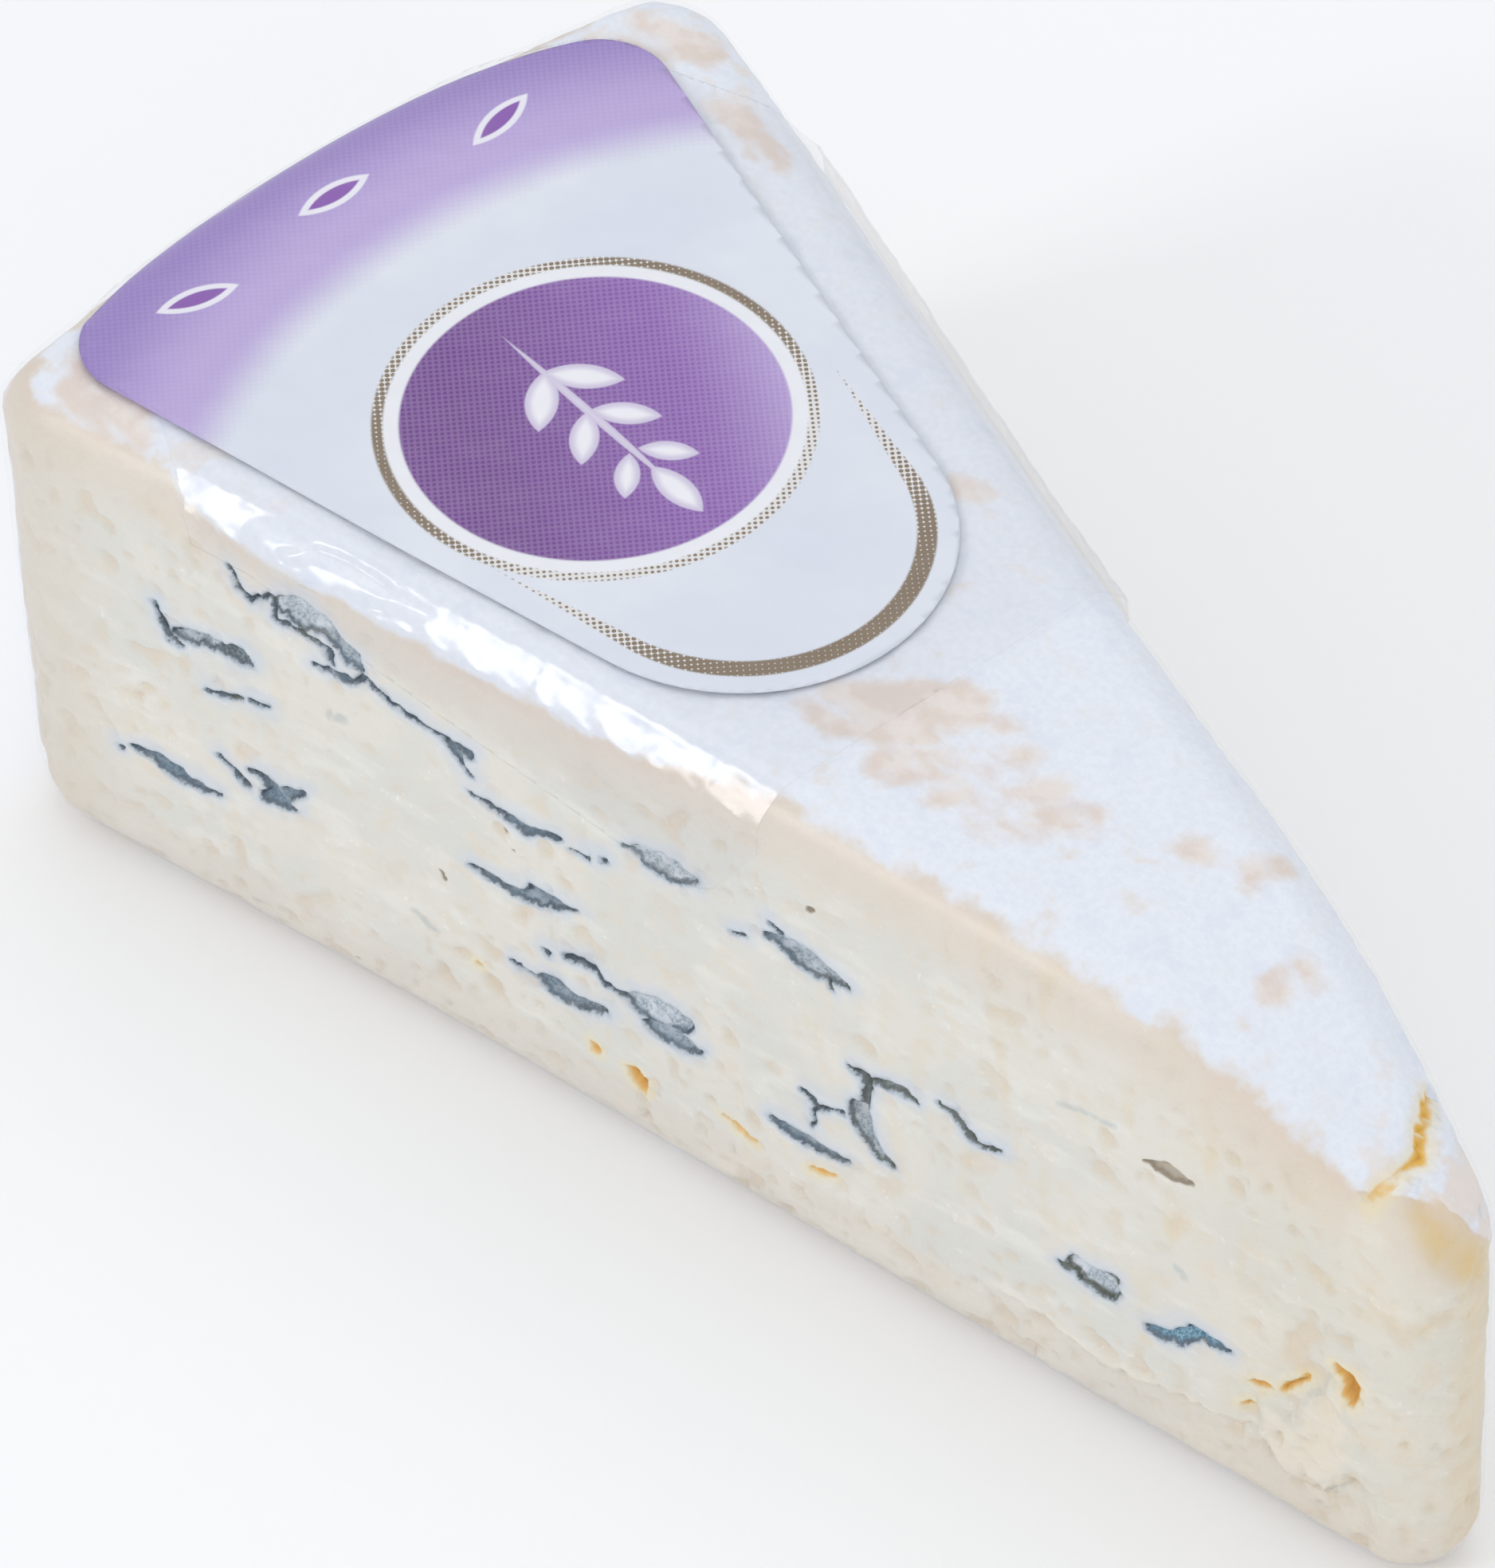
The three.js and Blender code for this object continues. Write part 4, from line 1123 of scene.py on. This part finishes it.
def print_material():
    material, tree, shader = solid_material("label_print")
    where = in_millimetres(tree)
    along, across = split(where)[:2]
    along = along - WHEEL_X
    soft_edge = 0.12

    # Halftone dots that break up the tints
    turned = put(tree, "ShaderNodeMapping", {"Vector": where, "Rotation": (0, 0, 0.6)})
    values = {"Vector": turned, "Scale": 2.6, "Randomness": 0.0}
    dot = put(tree, "ShaderNodeTexVoronoi", values, output="Distance", voronoi_dimensions="2D")

    # Distance in from the print's edge, along the rim and the sides
    rim_in = circle_gap(along, across, LABEL_BACK, LABEL_BACK_RADIUS) * -1.0
    sides = []
    for cut in (NEAR_CUT, FAR_CUT):
        reach = LABEL_TIP[0] * cut[0] + LABEL_TIP[1] * cut[1] + LABEL_TIP_RADIUS
        sides.append(reach - (along * cut[0] + across * cut[1]))
    side_in = smaller(*sides)

    # White field, and lilac that deepens towards the rim
    field = mixed(fade(cloud(where, 14.0, 2.0), 0.3, 0.7), FIELD_COOL, FIELD_WHITE)
    sweep = rim_in + across * 0.05
    lilac = mixed(fade(sweep, 8.0, 0.5), LILAC_PALE, LILAC_DEEP)
    tint = (fade(sweep, 13.0, 8.5) - dot * 0.2).clamped()
    colour = mixed(tint, field, lilac)

    # Gold: dots that are larger or smaller in slow waves, as light runs along a foil
    values = {"Vector": where, "Scale": 0.011, "Distortion": 1.5, "Detail": 0.0}
    gleam = put(tree, "ShaderNodeTexWave", values, output="Fac")
    spot_size = put(tree, "ShaderNodeMapRange", {"Value": gleam, "To Min": 0.62, "To Max": 0.28})
    gold = mixed(fade(dot - spot_size, 0.05, -0.05), HALFTONE_GAP, GOLD)

    # Medallion: gold ring, white ring, violet ground that pales across
    medallion = (-93.5, -1.6)
    round_gap = circle_gap(along, across, medallion, 13.8)
    colour = mixed(fade(round_gap, soft_edge, -soft_edge), colour, gold)
    colour = mixed(fade(round_gap, -0.7 + soft_edge, -0.7 - soft_edge), colour, WHITE_RING)
    glow = across * 0.045 + along * 0.02
    ground = mixed(fade(glow, -2.4, -1.55), VIOLET_DEEP, VIOLET)
    ground = mixed(fade(glow, -1.7, -1.15), ground, VIOLET_PALE)
    ground = mixed(fade(dot, 0.3, 0.4) * 0.12, ground, DOT_PALE)
    colour = mixed(fade(round_gap, -1.7 + soft_edge, -1.7 - soft_edge), colour, ground)

    # Sprig: a stem with paired leaves, in pale ink
    leaves = leaf_gap(along, across, (medallion[0] - 0.5, medallion[1]), 17.0, 0.6, 0.0)
    leaves = smaller(leaves, leaf_gap(along, across, (medallion[0] + 8, medallion[1]), 5.0, 2.0, 0.0))
    for step in range(3):
        for turn in (0.75, -0.75):
            x = medallion[0] - 5 + 4.2 * step + 2.4 * math.cos(turn)
            y = medallion[1] + 2.4 * math.sin(turn)
            leaf = leaf_gap(along, across, (x, y), 5.2 - 0.7 * step, 2.1 - 0.25 * step, turn)
            leaves = smaller(leaves, leaf)
    ink = mixed(fade(leaves, -0.1, -0.7), LEAF_EDGE, LEAF_PALE)
    colour = mixed(fade(leaves, 0.08, -0.08), colour, ink)

    # A gold line that follows the sides and the tip, and widens round the tip
    tip_in = circle_gap(along, across, LABEL_TIP, LABEL_TIP_RADIUS) * -1.0
    past_tip = fade(along, LABEL_TIP[0] + 2.0, LABEL_TIP[0] + 4.0)
    inset = put(tree, "ShaderNodeMix", {0: past_tip, 2: side_in, 3: tip_in})
    line = calc("ABSOLUTE", inset - 2.0)
    wide = fade(along, LABEL_TIP[0] - 12.0, LABEL_TIP[0] + 8.0)
    half_width = wide * 0.75 - 0.13
    colour = mixed(fade(line - half_width, 0.1, -0.1), colour, gold)

    # Small lozenges on the lilac
    for offset in (-12.0, 0.0, 12.0):
        centre_x = LABEL_BACK[0] - math.sqrt((LABEL_BACK_RADIUS - 5) ** 2 - offset ** 2)
        turn = math.atan2(offset, LABEL_BACK_RADIUS)
        middle = (centre_x, LABEL_BACK[1] + offset)
        lozenge = leaf_gap(along, across, middle, 5.6, 1.9, math.pi / 2 + turn)
        colour = mixed(fade(lozenge, 0.08, -0.08), colour, LOZENGE_PALE)
        colour = mixed(fade(lozenge, -0.35, -0.5), colour, VIOLET)

    values = {"Value": dot, "From Max": 0.5, "To Min": 0.3, "To Max": 0.42}
    rough = put(tree, "ShaderNodeMapRange", values)
    dimples = cloud(where, 1.5)
    bump = put(tree, "ShaderNodeBump", {"Strength": 0.1, "Distance": 0.0001, "Height": dimples})
    wire(shader, {"Base Color": colour, "Roughness": rough, "Normal": bump, "Specular IOR Level": 0.4})
    return material


run_modifier(label_print, "SOLIDIFY", thickness=PRINT_THICKNESS * MM, offset=-1.0)
dress(label_print, print_material())
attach(label_print, "root")
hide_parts("label")

# Label film: a stiffer, glossier clear film that carries the print. It is laid over the top and pressed
# down both cut faces as tabs, with small creases where it turns the edge.
FILM_GAP = 0.25
FILM_THICKNESS = 0.08
LABEL_TIP_EDGE = -62.3
LABEL_RIM_CORNER = 116.5
LABEL_RIM_INSET = 6.8
TAB_START = 63.8
TAB_END = 104.5
TAB_DROP = 10.0
FACET_TURN = 45.0
FACET_SHARE = 0.85
# Where the near tab starts, the film stands off in a bulge with two pinched valleys. Each point says how
# far along the edge it is, how far over it, counted from the base up and on across the top, and how wide.
FILM_BULGE = [
    ((101.6, 39.6, 2.0), (98.5, 39.4, 2.4), (94.0, 40.2, 1.6), (90.0, 40.8, 0.6)),
]
FILM_VALLEYS = [
    ((100.2, 39.4, 0.1), (98.4, 40.9, 0.2), (96.1, 41.4, 0.2), (93.2, 41.0, 0.1)),
    ((99.4, 37.4, 0.1), (96.0, 37.9, 0.15), (92.6, 39.2, 0.1)),
]


def from_face(cut, along, inwards):
    run = along_face(cut)
    return run[0] * along - cut[0] * inwards, run[1] * along - cut[1] * inwards


def band_block():
    side = []
    for cut in (NEAR_CUT, FAR_CUT):
        corner_y = math.copysign((2 - LABEL_TIP_EDGE) * math.tan(HALF_ANGLE), cut[1])
        side.append([
            from_face(cut, LABEL_RIM_CORNER - LABEL_CORNER_RADIUS, LABEL_TIP_RADIUS),
            from_face(cut, LABEL_RIM_CORNER, LABEL_RIM_INSET),
            from_face(cut, TAB_END, -2.0),
            (LABEL_TIP_EDGE, corner_y),
        ])
    low = WHEEL_HEIGHT - TOP_EDGE_RADIUS - 0.2
    return outline_block("band_block", side[0] + side[1][::-1], low)


def curve_points(points, steps):
    """Points on a Bezier curve, without its last."""
    made = []
    for i in range(steps):
        t = i / steps
        level = [np.array(p) for p in points]
        while len(level) > 1:
            level = [a * (1 - t) + b * t for a, b in zip(level, level[1:])]
        made.append(tuple(level[0]))
    return made


def tab_block(cut):
    shoulder = WHEEL_HEIGHT - TOP_EDGE_RADIUS
    low = WHEEL_HEIGHT - TAB_DROP
    lowest = (TAB_START + 11, low)
    drop = [(TAB_END - 1, shoulder), (TAB_END - 10, low + 3.5), (TAB_START + 22, low + 2), lowest]
    turn = [lowest, (TAB_START + 4, low - 1.2), (TAB_START + 3, low + 1.5)]
    outline = curve_points(drop, 12) + curve_points(turn, 8) + [turn[-1], (TAB_START, shoulder)]
    outline += [(TAB_START, WHEEL_HEIGHT), (TAB_END - 1, WHEEL_HEIGHT)]
    corners = [(*from_face(cut, along, 4.0), up) for along, up in outline]
    return pulled_block("tab_block", corners, (cut[0] * 8 * MM, cut[1] * 8 * MM, 0))


film_block = print_block()
for other in (band_block(), tab_block(NEAR_CUT), tab_block(FAR_CUT)):
    run_modifier(film_block, "BOOLEAN", operation="UNION", object=other, solver="MANIFOLD")
    bpy.data.objects.remove(other)
label_film = lifted_skin("label_film", FILM_GAP)
subdivide_where(label_film, lambda points: (points[:, 2] > 27) & (points[:, 0] < LABEL_TIP_EDGE + 2))
trim_to(label_film, film_block)
bpy.data.objects.remove(film_block)

places = spots(label_film)
outwards = directions(label_film)
edge_zone = np.clip(1 - np.abs(outwards[:, 2] - 0.6) / 0.5, 0, 1)
near_s, near_z, near_front = face_places(places, NEAR_CUT)
folds = np.abs(grain(np.column_stack((near_s * 1.0, near_z * 0.25, near_front * 0.25)), 4.5, 41.0))
creased = (1 - ease(folds, 0.0, 0.2)) * edge_zone * 0.04
over_edge = near_z - near_front
bulge = stroke_field(near_s, over_edge, FILM_BULGE, 6.0)[0]
valley = stroke_field(near_s, over_edge, FILM_VALLEYS)[0]
creased += 0.35 * ease(-bulge, -0.3, 1.6) - 0.3 * ease(-valley, -0.7, 0.2) * ease(-bulge, -0.5, 0.5)
ripple = 0.02 * (grain(places, 4.0, 43.0) + 1) + 0.015 * edge_zone * (grain(places, 0.8, 45.0) + 1)
# Stiff film turns the rounded edge in flat facets rather than in an even curve
tilt = np.degrees(np.arccos(np.clip(outwards[:, 2], -1, 1)))
off_facet = np.radians(np.abs((tilt + FACET_TURN / 2) % FACET_TURN - FACET_TURN / 2))
facets = (TOP_EDGE_RADIUS + FILM_GAP) * (1 / np.cos(off_facet) - 1)
facets *= FACET_SHARE * (1 + 0.3 * grain(np.column_stack((near_s, near_z, near_front)), 3.5, 47.0))
facets *= ease(places[:, 2], WHEEL_HEIGHT - TAB_DROP, WHEEL_HEIGHT - TOP_EDGE_RADIUS)
move_spots(label_film, places + outwards * (creased + ripple + facets)[:, None])
run_modifier(label_film, "SOLIDIFY", thickness=FILM_THICKNESS * MM, offset=1.0)
dress(label_film, clear_film_material("label_film", 0.19, 0.3, 1.3, 0.3))
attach(label_film, "root")
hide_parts("label")

bpy.data.objects.remove(bare_wedge)

# Floor: a plain pale table under the wedge, which isn't part of it.
# It catches the soft shadow.
deselect_all()
bpy.ops.mesh.primitive_plane_add(size=6.0, location=(0, 0, 0))
floor = bpy.context.object
floor.name = "floor"
floor_material, floor_tree, floor_shader = solid_material("floor")
wire(floor_shader, {"Base Color": paint(252, 252, 253), "Roughness": 0.9})
floor.data.materials.append(floor_material)

# Light: a pale room, a large soft lamp overhead, a weak one on the right, and a small one on the left,
# whose reflection runs along the label's near edge.
world = bpy.data.worlds.new("room")
bpy.context.scene.world = world
world.use_nodes = True
wire(world.node_tree.nodes["Background"], {"Color": (0.96, 0.98, 1.0, 1), "Strength": 0.77})


def soft_lamp(name, place, target, size, power):
    lamp = bpy.data.lights.new(name, "AREA")
    lamp.shape = "RECTANGLE"
    lamp.size = size[0]
    lamp.size_y = size[1]
    lamp.energy = power
    holder = bpy.data.objects.new(name, lamp)
    bpy.context.collection.objects.link(holder)
    holder.location = place
    holder.rotation_euler = (Vector(target) - Vector(place)).to_track_quat("-Z", "Y").to_euler()


soft_lamp("overhead", (-0.2, 0.3, 1.1), (0, 0, 0), (0.9, 0.9), 1.8)
soft_lamp("left", (-0.22, -0.82, 0.55), (0, 0, 0.02), (0.24, 0.2), 1.5)
soft_lamp("right", (0.75, -0.3, 0.5), (0, 0, 0.02), (0.5, 0.5), 0.7)

# Camera: stands where the photograph was taken from, with a long lens, and is turned a little
# about its line of sight.
CAMERA_PLACE = Vector((331.87, -263.95, 499.89)) * MM
CAMERA_AIM = Vector((-9.89, -1.66, 18.0)) * MM
CAMERA_ROLL = math.radians(-2.26)
camera_data = bpy.data.cameras.new("camera")
camera_data.lens = 238.4
camera_data.sensor_width = 36.0
camera = bpy.data.objects.new("camera", camera_data)
bpy.context.collection.objects.link(camera)
look = (CAMERA_AIM - CAMERA_PLACE).to_track_quat("-Z", "Y").to_matrix().to_4x4()
camera.rotation_euler = (look @ Matrix.Rotation(CAMERA_ROLL, 4, "Z")).to_euler()
camera.location = CAMERA_PLACE
bpy.context.scene.camera = camera
bpy.context.scene.view_settings.view_transform = "Standard"
